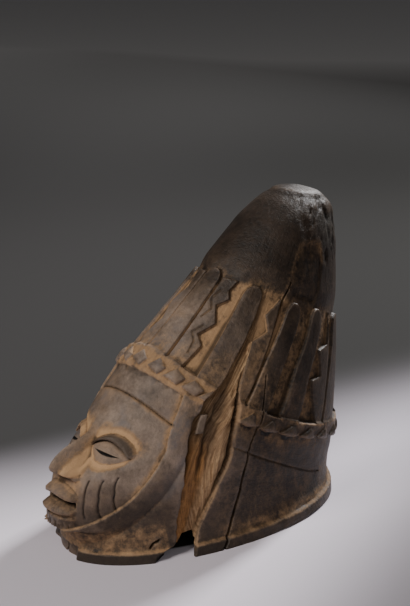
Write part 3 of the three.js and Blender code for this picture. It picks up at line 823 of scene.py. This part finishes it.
def join_shell(outer, inner):
    """Welds the seams and bridges the two skins along the rim."""
    for piece in (outer, inner):
        use_only(piece)
        bpy.ops.object.mode_set(mode="EDIT")
        bpy.ops.mesh.select_all(action="SELECT")
        bpy.ops.mesh.remove_doubles(threshold=WELD)
        if piece is inner:
            bpy.ops.mesh.flip_normals()
        bpy.ops.object.mode_set(mode="OBJECT")
    use_only(outer)
    inner.select_set(True)
    bpy.ops.object.join()
    bpy.context.tool_settings.mesh_select_mode = (False, True, False)
    bpy.ops.object.mode_set(mode="EDIT")
    bpy.ops.mesh.select_all(action="DESELECT")
    bpy.ops.mesh.select_non_manifold(extend=False, use_wire=False, use_boundary=True, use_multi_face=False,
                                     use_non_contiguous=False, use_verts=False)
    bpy.ops.mesh.bridge_edge_loops()
    bpy.ops.mesh.select_all(action="SELECT")
    bpy.ops.mesh.normals_make_consistent(inside=False)
    bpy.ops.object.mode_set(mode="OBJECT")
    check_closed(outer)


def check_closed(piece):
    """Stops the script if an edge of the piece doesn't lie between two faces."""
    uses = np.bincount(read_all(piece.data.loops, "edge_index"), minlength=len(piece.data.edges))
    if np.any(uses != 2):
        raise RuntimeError(f"{piece.name} has {np.sum(uses != 2)} open or branching edges")


def prism(name, near, far):
    """A closed block between two outlines with equal numbers of corners."""
    count = len(near)
    faces = [tuple(range(count)), tuple(range(2 * count - 1, count - 1, -1))]
    faces += [(i, i + count, (i + 1) % count + count, (i + 1) % count) for i in range(count)]
    mesh = bpy.data.meshes.new(name)
    mesh.from_pydata([tuple(p) for p in [*near, *far]], [], faces)
    block = bpy.data.objects.new(name, mesh)
    bpy.context.collection.objects.link(block)
    use_only(block)
    bpy.ops.object.mode_set(mode="EDIT")
    bpy.ops.mesh.select_all(action="SELECT")
    bpy.ops.mesh.normals_make_consistent(inside=False)
    bpy.ops.object.mode_set(mode="OBJECT")
    return block


def slit_block(side):
    """A lens that pierces the wall at one eye."""
    (x_in, z_in), (x_out, z_out) = SLIT["inner"], SLIT["outer"]
    outline = []
    for bulge, places in ((1, np.linspace(0, 1, 9)), (-1, np.linspace(1, 0, 9)[1:-1])):
        for t in places:
            lens = bulge * SLIT["half"] * math.sin(math.pi * t)
            outline.append((side * mix(x_in, x_out, t), mix(z_in, z_out, t) + lens))
    return prism(f"slit_{side}", *([(x, y, z) for x, z in outline] for y in SLIT["reach"]))


def break_block():
    """The jagged gap where a stretch of rim has broken away."""
    outline = []
    for (turn_a, z_a), (turn_b, z_b) in zip(RIM_BREAK, RIM_BREAK[1:]):
        for t in (0, 0.25, 0.5, 0.75):
            jag = noise.noise(Vector((turn_a + t * 3, z_a, 7.7)))
            outline.append((mix(turn_a, turn_b, t) + 0.5 * jag, mix(z_a, z_b, t) + 1.6 * jag * (z_a > 0)))
    outline.append(RIM_BREAK[-1])
    turns, heights = np.array(outline).T
    sides = []
    # From well inside the wall to outside it
    for scale in (0.62, 1.2):
        ring = skin(turns, np.zeros_like(turns), scale)
        ring[:, 2] = heights
        sides.append(ring)
    return prism("rim_break", *sides)


def pierce(piece, blocks):
    """Cuts blocks out of the piece and marks the faces that the cuts lay bare."""
    bared = bpy.data.materials.new("bared")
    before = read_points(piece)
    marks = {mark.name: read_mark(piece, mark.name) for mark in piece.data.attributes
             if mark.data_type == "FLOAT" and mark.domain == "POINT"}
    for block in blocks:
        block.data.materials.append(bared)
        use_only(piece)
        modifier = piece.modifiers.new("cut", "BOOLEAN")
        modifier.operation = "DIFFERENCE"
        modifier.solver = "EXACT"
        modifier.material_mode = "TRANSFER"
        modifier.object = block
        bpy.ops.object.modifier_apply(modifier=modifier.name)
        bpy.data.objects.remove(block)
    tree = kdtree.KDTree(len(before))
    for i, point in enumerate(before):
        tree.insert(point, i)
    tree.balance()
    nearest = np.array([tree.find(point)[1] for point in read_points(piece)])
    write_marks(piece, {name: values[nearest] for name, values in marks.items()})
    # The bared faces are painted near black later, as painted shade inside the cuts
    index = read_all(piece.data.polygons, "material_index")
    cut = piece.data.attributes.new("cut", "FLOAT", "FACE")
    cut.data.foreach_set("value", (index > 0).astype(np.float32))
    piece.data.polygons.foreach_set("material_index", np.zeros(len(index), np.int32))
    piece.data.materials.pop()
    bpy.data.materials.remove(bared)


def neighbour_mean(edges, values, count):
    """Mean of each point's neighbours along its edges."""
    total = np.zeros_like(values)
    np.add.at(total, edges[:, 0], values[edges[:, 1]])
    np.add.at(total, edges[:, 1], values[edges[:, 0]])
    return total / np.maximum(count, 1).reshape(-1, *[1] * (values.ndim - 1))


def mark_folds(piece):
    """Marks hollow corners and worn edges, from how each point lies against the smoothed surface."""
    points = read_points(piece)
    edges = read_all(piece.data.edges, "vertices", 2)
    count = np.bincount(edges.ravel(), minlength=len(points))
    normals = read_all(piece.data.vertex_normals, "vector", 3, float)
    smoothed = points.copy()
    for _ in range(6):
        smoothed = neighbour_mean(edges, smoothed, count)
    depth = np.einsum("ij,ij->i", smoothed - points, normals)
    crease = smooth(0.05, 0.75, depth) * smooth(0.07, 0.12, read_mark(piece, "step"))
    edge = smooth(0.05, 0.6, -depth)
    for _ in range(2):
        crease = 0.5 * crease + 0.5 * neighbour_mean(edges, crease, count)
        edge = 0.6 * edge + 0.4 * neighbour_mean(edges, edge, count)
    write_marks(piece, crease=crease, edge=edge)


def lay_map(piece):
    """A map in tenths of a metre round and up the skin, for grain that follows the carving."""
    mesh = piece.data
    turn, step = read_mark(piece, "turn"), read_mark(piece, "step")
    corners = read_all(mesh.loops, "vertex_index")
    starts, totals = (read_all(mesh.polygons, name) for name in ("loop_start", "loop_total"))
    at = turn[corners].astype(float)
    highest = np.repeat(np.maximum.reduceat(at, starts), totals)
    at = np.where(highest - at > 180, at + 360, at)
    layer = mesh.uv_layers.new(name="lay")
    places = np.stack([at * MAP_TURN_MM / 100, step[corners] * STEP_MM / 100], -1)
    layer.data.foreach_set("uv", places.astype(np.float32).ravel())


def finish_marks(carving, points):
    """What each part of the surface carries: dust with painted highlights, bare wood, darkness that is mostly
    painted shade, a paler tone, grey and warm wood.
    """
    turn, step, z, y = carving.turn, carving.step, points[:, 2], points[:, 1]
    aside, near_front = np.abs(carving.x), np.abs(turn) < 40
    front = fade(56, 74, np.abs(turn - 12))
    ground = carving.ground * (1 - carving.strip) * mix(0.5, 1.0, front)
    ground = ground * (1 - 0.6 * smooth(0.77, 0.81, step))
    lower_strip = carving.strip * fade(0.62, 0.72, step) * mix(0.25, 0.45, front)
    band_gap = carving.band * (1 - carving.motif) * mix(0.3, 0.85, front)
    # The rim's top ledge: partly ochre dust, partly a painted highlight, stronger near turn 36
    ledge = carving.ledge * smooth(0.040, 0.046, step) * (1 + 0.6 * bell((turn - 36) / 16))
    on_nose = fade(15, 22, aside) * within(83, 88, 118, 134, z) * (1 - carving.opening) * near_front
    on_lips = fade(20, 26, aside) * (z > 44) * (z < 82) * near_front
    near_edges = bell((step - 0.07) / 0.03) + bell((band_middle(turn) - BAND_HALF - step) / 0.03)
    dust_and_highlight = np.maximum.reduce([
        ground, lower_strip, band_gap, 0.75 * ledge,
        # A painted highlight along the band's top edge, brighter at the back
        carving.band_top * mix(0.5, 0.85, smooth(80, 92, turn)),
        0.9 * carving.eye_rim, on_nose * mix(0.3, 1.6, smooth(4, 10, aside)), 0.25 * carving.opening,
        0.45 * on_lips, 0.3 * carving.gap, 0.6 * carving.under_hair, 0.35 * carving.lines,
        0.6 * carving.strap_edge * fade(60, 95, z), 0.3 * carving.strap_groove * (z < 60),
        0.34 * carving.strap * smooth(95, 120, z), 0.65 * carving.beside_strap * smooth(50, 80, z),
        0.5 * carving.patch_edge, 0.25 * carving.patch, 0.6 * carving.beside,
        # Neck, nape and beside the crack
        0.5 * (step > 0.05) * fade(26, 46, z) * (np.abs(turn) < 50),
        (0.28 + 0.25 * near_edges) * smooth(64, 72, turn) * fade(0.5, 0.6, step),
        0.5 * bell((turn - 67) / 8) * within(0.57, 0.60, 0.70, 0.78, step),
    ])
    low_face = (z > 20) & (z < 130) & (np.abs(turn) < 55)
    dust_and_highlight = np.where(low_face, np.maximum(dust_and_highlight, 0.6 * carving.socket * (1 - carving.opening)), dust_and_highlight)
    near_lid = carving.lid * (turn > 0)
    dust_and_highlight = np.maximum(dust_and_highlight, 1.5 * carving.eye_rim) * (1 - 0.85 * near_lid)
    # Painted light on the far eye's lid
    dust_and_highlight = np.maximum(dust_and_highlight, 0.8 * carving.lid * (turn < 0))
    # Mostly painted shade: in the cracks, the channel's slot, the nostrils, under the near lid, the cut lines
    # and cheek cuts, on the rim's side and in the mouth's gap; the near lid is darker wood
    dark = np.maximum.reduce([
        carving.crack, 0.75 * carving.slot * carving.raw, 0.8 * carving.nostril, 0.6 * near_lid,
        0.85 * carving.under_lid * (turn > 0), 0.5 * carving.lines, 0.6 * carving.cheek,
        0.7 * carving.rim * fade(0.036, 0.044, step), 0.3 * carving.gap,
        # The crown's darker wood, and painted shade over the back below the band
        0.38 * smooth(0.81, 0.86, step), 0.3 * smooth(66, 76, turn) * (step < 0.53),
    ])
    face = fade(-45, 15, y) * fade(0.60, 0.66, step) * mix(0.10, 1, smooth(42, 92, z))
    face = face * (1 - 0.6 * carving.strap * fade(60, 110, z))
    coiffure = mix(0.32, 0.9, fade(18, 46, np.abs(turn))) * fade(0.70, 0.80, step) * front
    pale = np.maximum(face, coiffure * smooth(0.54, 0.6, step))
    grey = smooth(95, 140, y) * smooth(225, 270, z) * fade(0.95, 0.975, step)
    return {
        "dust_and_highlight": dust_and_highlight, "raw": carving.raw * (1 - carving.stub), "dark": dark, "pale": pale, "grey": grey,
        "warm": carving.low_raw * carving.raw,
    }


# Materials

class Value:
    """A number that varies over the surface, as a node's socket."""

    def __init__(self, finish, socket):
        self.finish, self.socket = finish, socket

    def maths(self, operation, *values):
        return self.made("ShaderNodeMath", dict(enumerate(values)), operation=operation)

    def made(self, kind, sockets, **settings):
        return Value(self.finish, self.finish.node(kind, sockets, **settings).outputs[0])

    def __add__(self, other):
        return self.maths("ADD", self, other)

    def __sub__(self, other):
        return self.maths("SUBTRACT", self, other)

    def __rsub__(self, other):
        return self.maths("SUBTRACT", other, self)

    def __mul__(self, other):
        return self.maths("MULTIPLY", self, other)

    def __pow__(self, other):
        return self.maths("POWER", self, other)

    __radd__, __rmul__ = __add__, __mul__

    def clamped(self):
        return self.made("ShaderNodeClamp", {0: self, 1: 0.0, 2: 1.0})

    def between(self, low, high):
        """0 below the low value and 1 above the high one, smooth between."""
        return self.made("ShaderNodeMapRange", {0: self, 1: low, 2: high, 3: 0.0, 4: 1.0},
                         interpolation_type="SMOOTHSTEP")


class Finish:
    """One material's nodes."""

    def __init__(self, name):
        self.material = bpy.data.materials.new(name)
        self.material.use_nodes = True
        self.tree = self.material.node_tree
        self.tree.nodes.clear()

    def node(self, kind, sockets=(), **settings):
        made = self.tree.nodes.new(kind)
        for name, value in settings.items():
            setattr(made, name, value)
        for place, value in dict(sockets).items():
            source = value.socket if isinstance(value, Value) else value
            if isinstance(source, bpy.types.NodeSocket):
                self.tree.links.new(source, made.inputs[place])
            else:
                made.inputs[place].default_value = source
        return made

    def mark(self, name):
        """A mark written on the mesh."""
        return Value(self, self.node("ShaderNodeAttribute", attribute_name=name).outputs["Fac"])

    def stretched(self, source, stretch):
        return self.node("ShaderNodeMapping", {"Vector": source, "Scale": stretch}).outputs[0]

    def place(self, stretch=(1, 1, 1)):
        """Object coordinates in metres, stretched."""
        return self.stretched(self.node("ShaderNodeTexCoord").outputs["Object"], stretch)

    def along(self, *stretch):
        """Coordinates that follow the carving, in tenths of a metre round and up, stretched."""
        return self.stretched(self.node("ShaderNodeUVMap", uv_map="lay").outputs[0], (*stretch, 1))

    def noise(self, place, scale, detail, roughness=0.55):
        """Smooth noise about 0.5."""
        return Value(self, self.node("ShaderNodeTexNoise", {
            "Vector": place, "Scale": scale, "Detail": detail, "Roughness": roughness,
        }).outputs["Fac"])

    def cloud(self, *settings):
        """Noise through the wood, by the metre."""
        return self.noise(self.place(), *settings)

    def grain(self, around, up, *settings):
        """Noise drawn out along the carving."""
        return self.noise(self.along(around, up), 1.0, *settings)

    def blend(self, share, *colours):
        """A colour between two, each a link or one of the look's colours."""
        first, second = (c if isinstance(c, bpy.types.NodeSocket) else (*c, 1.0) for c in colours)
        return self.node("ShaderNodeMix", {0: share, 6: first, 7: second}, data_type="RGBA").outputs[2]

    def surface(self, sockets):
        shader = self.node("ShaderNodeBsdfPrincipled", sockets)
        self.node("ShaderNodeOutputMaterial", {"Surface": shader.outputs[0]})
        return self.material


def wood_finish(look):
    """Dark worn patina, ochre dust in the hollows, bare fibres in the worn channel, with painted shade,
    painted highlights and a painted sheen.
    """
    f = Finish("aged_mask_wood")
    wide = f.cloud(22, 4)
    mottle = f.cloud(85, 5, 0.65)
    fine = f.cloud(300, 4, 0.7)
    specks = f.cloud(700, 2, 0.6)
    grain = f.grain(26, 2.6, 3, 0.6)
    streak = f.grain(60, 1.6, 4, 0.65)
    wrinkle = f.grain(5, 26, 3, 0.6)
    pale, crease, edge, raw, dark, grey, inside, dusted_and_lit = (
        f.mark(name) for name in ("pale", "crease", "edge", "raw", "dark", "grey", "inside", "dust_and_highlight"))

    # Patina, and the paler and browner wood of the face and front, under a painted cool sheen
    tone = (wide * 1.2 + mottle * 1.3 + fine * 1.2 - 1.35).clamped()
    patina = f.blend(tone, look.patina_dark, look.patina_brown)
    calm = (wide * 1.6 + mottle * 1.3 + fine * 0.9 - 1.36).clamped()
    face = f.blend(calm, look.face_dark, look.face_pale)
    # A painted cool blue-grey sheen over patches of the face
    face = f.blend(f.cloud(34, 3).between(0.48, 0.66) * 0.6, face, look.face_painted_sheen)
    haze = f.cloud(15, 4, 0.6).between(0.48, 0.68) * (mottle * 1.2)
    face = f.blend((haze * 0.75).clamped(), face, look.face_warm)
    shade = f.blend((pale * (0.6 + wide * 0.8)).clamped(), patina, face)

    # Dust in the hollows with painted highlights on the rim's ledge, the band's top and the far lid, wood
    # rubbed along edges, grey flakes, specks and scratches
    dusty_and_lit = dusted_and_lit + crease * 0.45 * (0.15 + pale * 0.85)
    dusty_and_lit = (dusty_and_lit * (mottle * 1.7 + fine * 1.7 - 0.85) + (grain - 0.5) * 0.35 * dusted_and_lit).between(0.12, 0.80)
    ochre = (mottle * 1.1 + grain * 0.5 - 0.3 + (dusted_and_lit - 0.9).clamped() * 0.9).clamped()
    dust_and_highlight = f.blend(ochre, look.brown_dust_and_highlight, look.ochre_dust_and_highlight)
    shade = f.blend((dusty_and_lit * 0.92).clamped(), shade, dust_and_highlight)
    rubbed = (edge * (mottle * 1.2 + fine * 0.9 - 0.35)).between(0.2, 0.8)
    shade = f.blend((rubbed * 0.3).clamped(), shade, look.rubbed)
    flaked = (grey * (wide * 0.6 + mottle * 0.7 + fine * 0.5 - 0.1)).between(0.55, 0.95)
    shade = f.blend((flaked * 0.8).clamped(), shade, look.flaked)
    light_specks = specks.between(0.66, 0.74) * fine.between(0.48, 0.58)
    scratches = f.grain(70, 9, 2, 0.5).between(0.66, 0.74) * mottle.between(0.45, 0.6)
    shade = f.blend((light_specks * 0.6 + scratches * 0.25).clamped(), shade, look.rubbed)

    # Bare fibres of the channel, orange low down
    fibre = (streak * 2.1 - 0.9 + mottle * 0.6 + (fine - 0.5) * 0.7).clamped()
    bare = f.blend(fibre, look.bare_brown, look.bare_tan)
    warm = (f.mark("warm") * (0.5 + grain)).clamped()
    orange = f.blend(fibre, look.bare_brown, look.bare_orange)
    bare = f.blend((warm * 0.8).clamped(), bare, orange)
    bare = f.blend((crease * 0.6).clamped(), bare, look.bare_deep)
    shade = f.blend((raw * (0.85 + fine * 0.4)).between(0.25, 0.75), shade, bare)

    # The hollow inside, and near black painted shade in cracks, creases, the faces that the cuts lay bare and
    # the other dark marks
    hollow = f.blend(wide, look.inside_dark, look.inside_brown)
    shade = f.blend(inside.clamped(), shade, hollow)
    deep = (crease.between(0.35, 0.95) * 0.75 * (1 - raw) + dark + f.mark("cut")).clamped()
    shade = f.blend(deep, shade, look.dark_and_painted_shade)

    rough = 0.50 + 0.32 * dusty_and_lit + 0.12 * raw - 0.10 * rubbed + (fine - 0.5) * 0.2
    relief = grain * 0.3 + mottle * 0.5 + fine * 0.5 + specks * 0.3 + streak * raw * 2.2
    relief = relief + 0.3 * wrinkle * (1 - raw) * (1 - pale)
    bump = f.node("ShaderNodeBump", {"Strength": 0.9, "Distance": 0.0014, "Height": relief})
    return f.surface({
        "Base Color": shade, "Roughness": rough.clamped(), "Specular IOR Level": 0.28,
        "Normal": bump.outputs[0],
    })


def floor_finish(look):
    """Pale paper with painted light and shade: painted shade darkens it towards the back of the room, sooner
    at the mask's face, and to the right in front, painted light pales it far off, and a painted shadow lies
    under the mask.
    """
    f = Finish("studio_paper")
    place = f.node("ShaderNodeSeparateXYZ", {0: f.place()})
    x, y = (Value(f, place.outputs[axis]) for axis in (0, 1))

    def along(way):
        """How far a place on the floor lies along a level way."""
        return x * way.x + y * way.y

    depth, back = along(AWAY - 0.58 * RIGHT), along(AWAY)
    aside = along(AWAY * -0.45 + RIGHT * 0.9)
    # Painted shade on the paper to the right in front
    pale = f.blend(aside.between(0.08, 0.28), look.floor_pale, look.floor_painted_shade_aside)
    right = along(RIGHT).between(-0.45, 0.45)
    # Painted shade of the backdrop, darker at the right
    backdrop = f.blend(right, look.backdrop_painted_shade_left, look.backdrop_painted_shade_right)
    lit = 1 - depth.between(0.005, right * 0.14 + 0.27)
    shade = f.blend(1 - lit ** (right * 2.4 + 0.55), pale, backdrop)
    # Painted light that pales the paper far off
    far = ((back - 1.1 - right * 0.3) * (0.351 + right * 0.103)).clamped() ** 2.5
    shade = f.blend(far, shade, look.backdrop_painted_light_far)
    # A painted shadow on the paper under the mask
    under = f.node("ShaderNodeVectorMath", {0: f.place((13.5, 7.6, 1))}, operation="LENGTH")
    shade = f.blend(Value(f, under.outputs[1]).between(0.95, 1.0), look.floor_painted_shadow_under, shade)
    return f.surface({"Base Color": shade, "Roughness": 0.9, "Specular IOR Level": 0.1})


# Studio

# Level ways as the camera sees them
RIGHT = Vector((0.64279, 0.76604, 0.0))
AWAY = Vector((-0.76604, 0.64279, 0.0))
# The camera stands at the mask's left front and a little above it
CAMERA_PLACE = Vector((0.94301, -0.77799, 0.61266))
CAMERA_UP = Vector((-0.23418, 0.19650, 0.95213))
CAMERA_BACK = Vector((0.72937, -0.61202, 0.30570))
CAMERA_LENS = 77.23
FLOOR_SIZE = 14
# Lamps: name, place to the right, away and up from what they light, size, power in watts and tint
LAMPS_TARGET = Vector((0, 0, 0.15))
LAMPS = [
    ("key", (-1.25, -1.05, 1.6), (0.75, 0.75), 35, (1.0, 0.97, 0.93)),
    ("fill", (0.3, -2.2, 1.1), (1.6, 1.2), 9, (1.0, 0.98, 0.96)),
    ("rim", (1.0, 1.3, 1.3), (0.3, 0.3), 74, (0.97, 0.98, 1.0)),
]
ROOM_TINT = (0.5, 0.5, 0.52, 1)
ROOM_STRENGTH = 0.12


def set_camera():
    data = bpy.data.cameras.new("view")
    data.lens = CAMERA_LENS
    data.sensor_width = 36.0
    data.clip_end = 30.0
    camera = bpy.data.objects.new("view", data)
    bpy.context.collection.objects.link(camera)
    turned = Matrix((RIGHT, CAMERA_UP, CAMERA_BACK)).transposed().to_4x4()
    camera.matrix_world = Matrix.Translation(CAMERA_PLACE) @ turned
    bpy.context.scene.camera = camera


def add_lamp(name, place, size, power, tint):
    data = bpy.data.lights.new(name, "AREA")
    data.shape = "RECTANGLE"
    data.size, data.size_y = size
    data.energy = power
    data.color = tint
    lamp = bpy.data.objects.new(name, data)
    bpy.context.collection.objects.link(lamp)
    right, away, up = place
    lamp.location = LAMPS_TARGET + RIGHT * right + AWAY * away + Vector((0, 0, up))
    lamp.rotation_euler = (LAMPS_TARGET - lamp.location).to_track_quat("-Z", "Y").to_euler()


class MaskLook(bpy.types.PropertyGroup):
    """Colours of the wood and the studio, and of their painted light and shade."""

    def tint(label, words, value):
        return bpy.props.FloatVectorProperty(name=label, description=words, default=value, size=3,
                                             subtype="COLOR", min=0.0, max=1.0)

    patina_dark: tint("Dark patina", "Darkest of the worn patina", (0.0135, 0.0095, 0.0070))
    patina_brown: tint("Brown patina", "Lighter brown of the worn patina", (0.071, 0.045, 0.028))
    face_dark: tint("Face, dark", "Darker tone of the face and front", (0.070, 0.048, 0.034))
    face_warm: tint("Face, warm", "Brown haze over parts of the face", (0.290, 0.178, 0.100))
    # A painted sheen, laid on as a blue-grey colour
    face_painted_sheen: tint("Face, blue grey", "Cool sheen over parts of the face", (0.150, 0.132, 0.130))
    face_pale: tint("Face, pale", "Paler tone of the face and front", (0.290, 0.215, 0.162))
    # Dust colours, also used for the painted highlights
    brown_dust_and_highlight: tint("Brown dust", "Darker dust in the hollows", (0.130, 0.075, 0.038))
    ochre_dust_and_highlight: tint("Ochre dust", "Pale ochre dust in the hollows", (0.52, 0.315, 0.160))
    rubbed: tint("Rubbed edge", "Wood worn pale along edges", (0.22, 0.155, 0.11))
    flaked: tint("Flaked grey", "Grey wood at the back of the crown", (0.085, 0.078, 0.064))
    bare_tan: tint("Bare wood, tan", "Pale fibres of the worn channel", (0.58, 0.38, 0.21))
    bare_brown: tint("Bare wood, brown", "Orange brown fibres of the channel", (0.15, 0.068, 0.024))
    bare_orange: tint("Bare wood, orange", "Orange fibres low in the channel", (0.50, 0.22, 0.052))
    bare_deep: tint("Bare wood, deep", "Shaded cracks between fibres", (0.055, 0.026, 0.010))
    inside_dark: tint("Inside, dark", "Darker tone of the hollow", (0.030, 0.020, 0.013))
    inside_brown: tint("Inside, brown", "Browner tone of the hollow", (0.085, 0.056, 0.036))
    # Near black for the painted shade, and for the darkest wood
    dark_and_painted_shade: tint("Crack", "Depth of the cracks", (0.006, 0.004, 0.003))
    floor_pale: tint("Floor", "Pale studio paper", (0.71, 0.65, 0.71))
    # A painted shadow under the mask
    floor_painted_shadow_under: tint("Under the mask", "Paper shut in under the mask", (0.02, 0.018, 0.016))
    # Painted shade on the paper aside
    floor_painted_shade_aside: tint("Floor, aside", "Paper right in front, away from the lamps", (0.17, 0.155, 0.164))
    # Painted light far off
    backdrop_painted_light_far: tint("Far backdrop", "Paper at the far end of the room", (0.66, 0.64, 0.62))
    # Painted shade of the backdrop, at the left and at the right
    backdrop_painted_shade_left: tint("Backdrop, left", "Paper at the back left of the room", (0.043, 0.041, 0.040))
    backdrop_painted_shade_right: tint("Backdrop, right", "Paper at the back right of the room", (0.026, 0.025, 0.0235))


class MaskSizes(bpy.types.PropertyGroup):
    """Fineness of the mesh."""

    columns: bpy.props.IntProperty(
        name="Columns", description="Faces round the mask before it is refined", default=226, min=60)
    rows: bpy.props.IntProperty(
        name="Rows", description="Faces from the rim to the crown before it is refined", default=124, min=40)
    first_change: bpy.props.FloatProperty(
        name="First refining", description="Change of carving in a face that divides it, in millimetres",
        default=0.62, min=0.05)
    second_change: bpy.props.FloatProperty(
        name="Second refining", description="The same for the second round, in millimetres", default=0.88,
        min=0.05)


class MASK_OT_carve_wood(bpy.types.Operator):
    """Carve the mask's wood on its frame: skin, hollow, cracks, breaks and finish"""

    bl_idname = "mask_wood.carve"
    bl_label = "Carve the wood"

    def execute(self, context):
        sizes, look = context.scene.mask_sizes, context.scene.mask_look
        piece = outer_skin(sizes.columns, sizes.rows, (sizes.first_change, sizes.second_change))
        join_shell(piece, inner_hollow(*HOLLOW_GRID))
        piece.data.materials.append(wood_finish(look))
        pierce(piece, [slit_block(1), slit_block(-1), break_block()])
        mark_folds(piece)
        lay_map(piece)
        write_points(piece, read_points(piece) / MM)
        use_only(piece)
        bpy.ops.object.shade_smooth_by_angle(angle=math.radians(SMOOTH_ANGLE))
        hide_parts(NODE)
        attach(piece, "root")
        return {"FINISHED"}


class MASK_OT_set_stage(bpy.types.Operator):
    """Lay the pale floor, hang the soft lights and set the camera"""

    bl_idname = "mask_wood.stage"
    bl_label = "Set the stage"

    def execute(self, context):
        bpy.ops.object.select_all(action="DESELECT")
        bpy.ops.mesh.primitive_plane_add(size=FLOOR_SIZE, location=(0, 0, 0))
        floor = context.object
        floor.name = "floor"
        floor.data.materials.append(floor_finish(context.scene.mask_look))
        for lamp in LAMPS:
            add_lamp(*lamp)
        world = bpy.data.worlds.new("room")
        world.use_nodes = True
        background = world.node_tree.nodes["Background"]
        background.inputs["Color"].default_value = ROOM_TINT
        background.inputs["Strength"].default_value = ROOM_STRENGTH
        context.scene.world = world
        set_camera()
        return {"FINISHED"}


class MASK_PT_panel(bpy.types.Panel):
    """The mask's steps and settings."""

    bl_label = "Carved helmet mask"
    bl_idname = "MASK_PT_panel"
    bl_space_type = "VIEW_3D"
    bl_region_type = "UI"
    bl_category = "Mask"

    def draw(self, context):
        column = self.layout.column()
        for step in (MASK_OT_carve_wood, MASK_OT_set_stage):
            column.operator(step.bl_idname)
        for group in (context.scene.mask_sizes, context.scene.mask_look):
            for name in group.__annotations__:
                column.prop(group, name)


CLASSES = (MaskLook, MaskSizes, MASK_OT_carve_wood, MASK_OT_set_stage, MASK_PT_panel)


def register():
    for made in CLASSES:
        bpy.utils.register_class(made)
    bpy.types.Scene.mask_look = bpy.props.PointerProperty(type=MaskLook)
    bpy.types.Scene.mask_sizes = bpy.props.PointerProperty(type=MaskSizes)


def unregister():
    del bpy.types.Scene.mask_sizes
    del bpy.types.Scene.mask_look
    for made in reversed(CLASSES):
        bpy.utils.unregister_class(made)


def main():
    register()
    bpy.ops.mask_wood.carve()
    bpy.ops.mask_wood.stage()


if __name__ == "__main__":
    main()
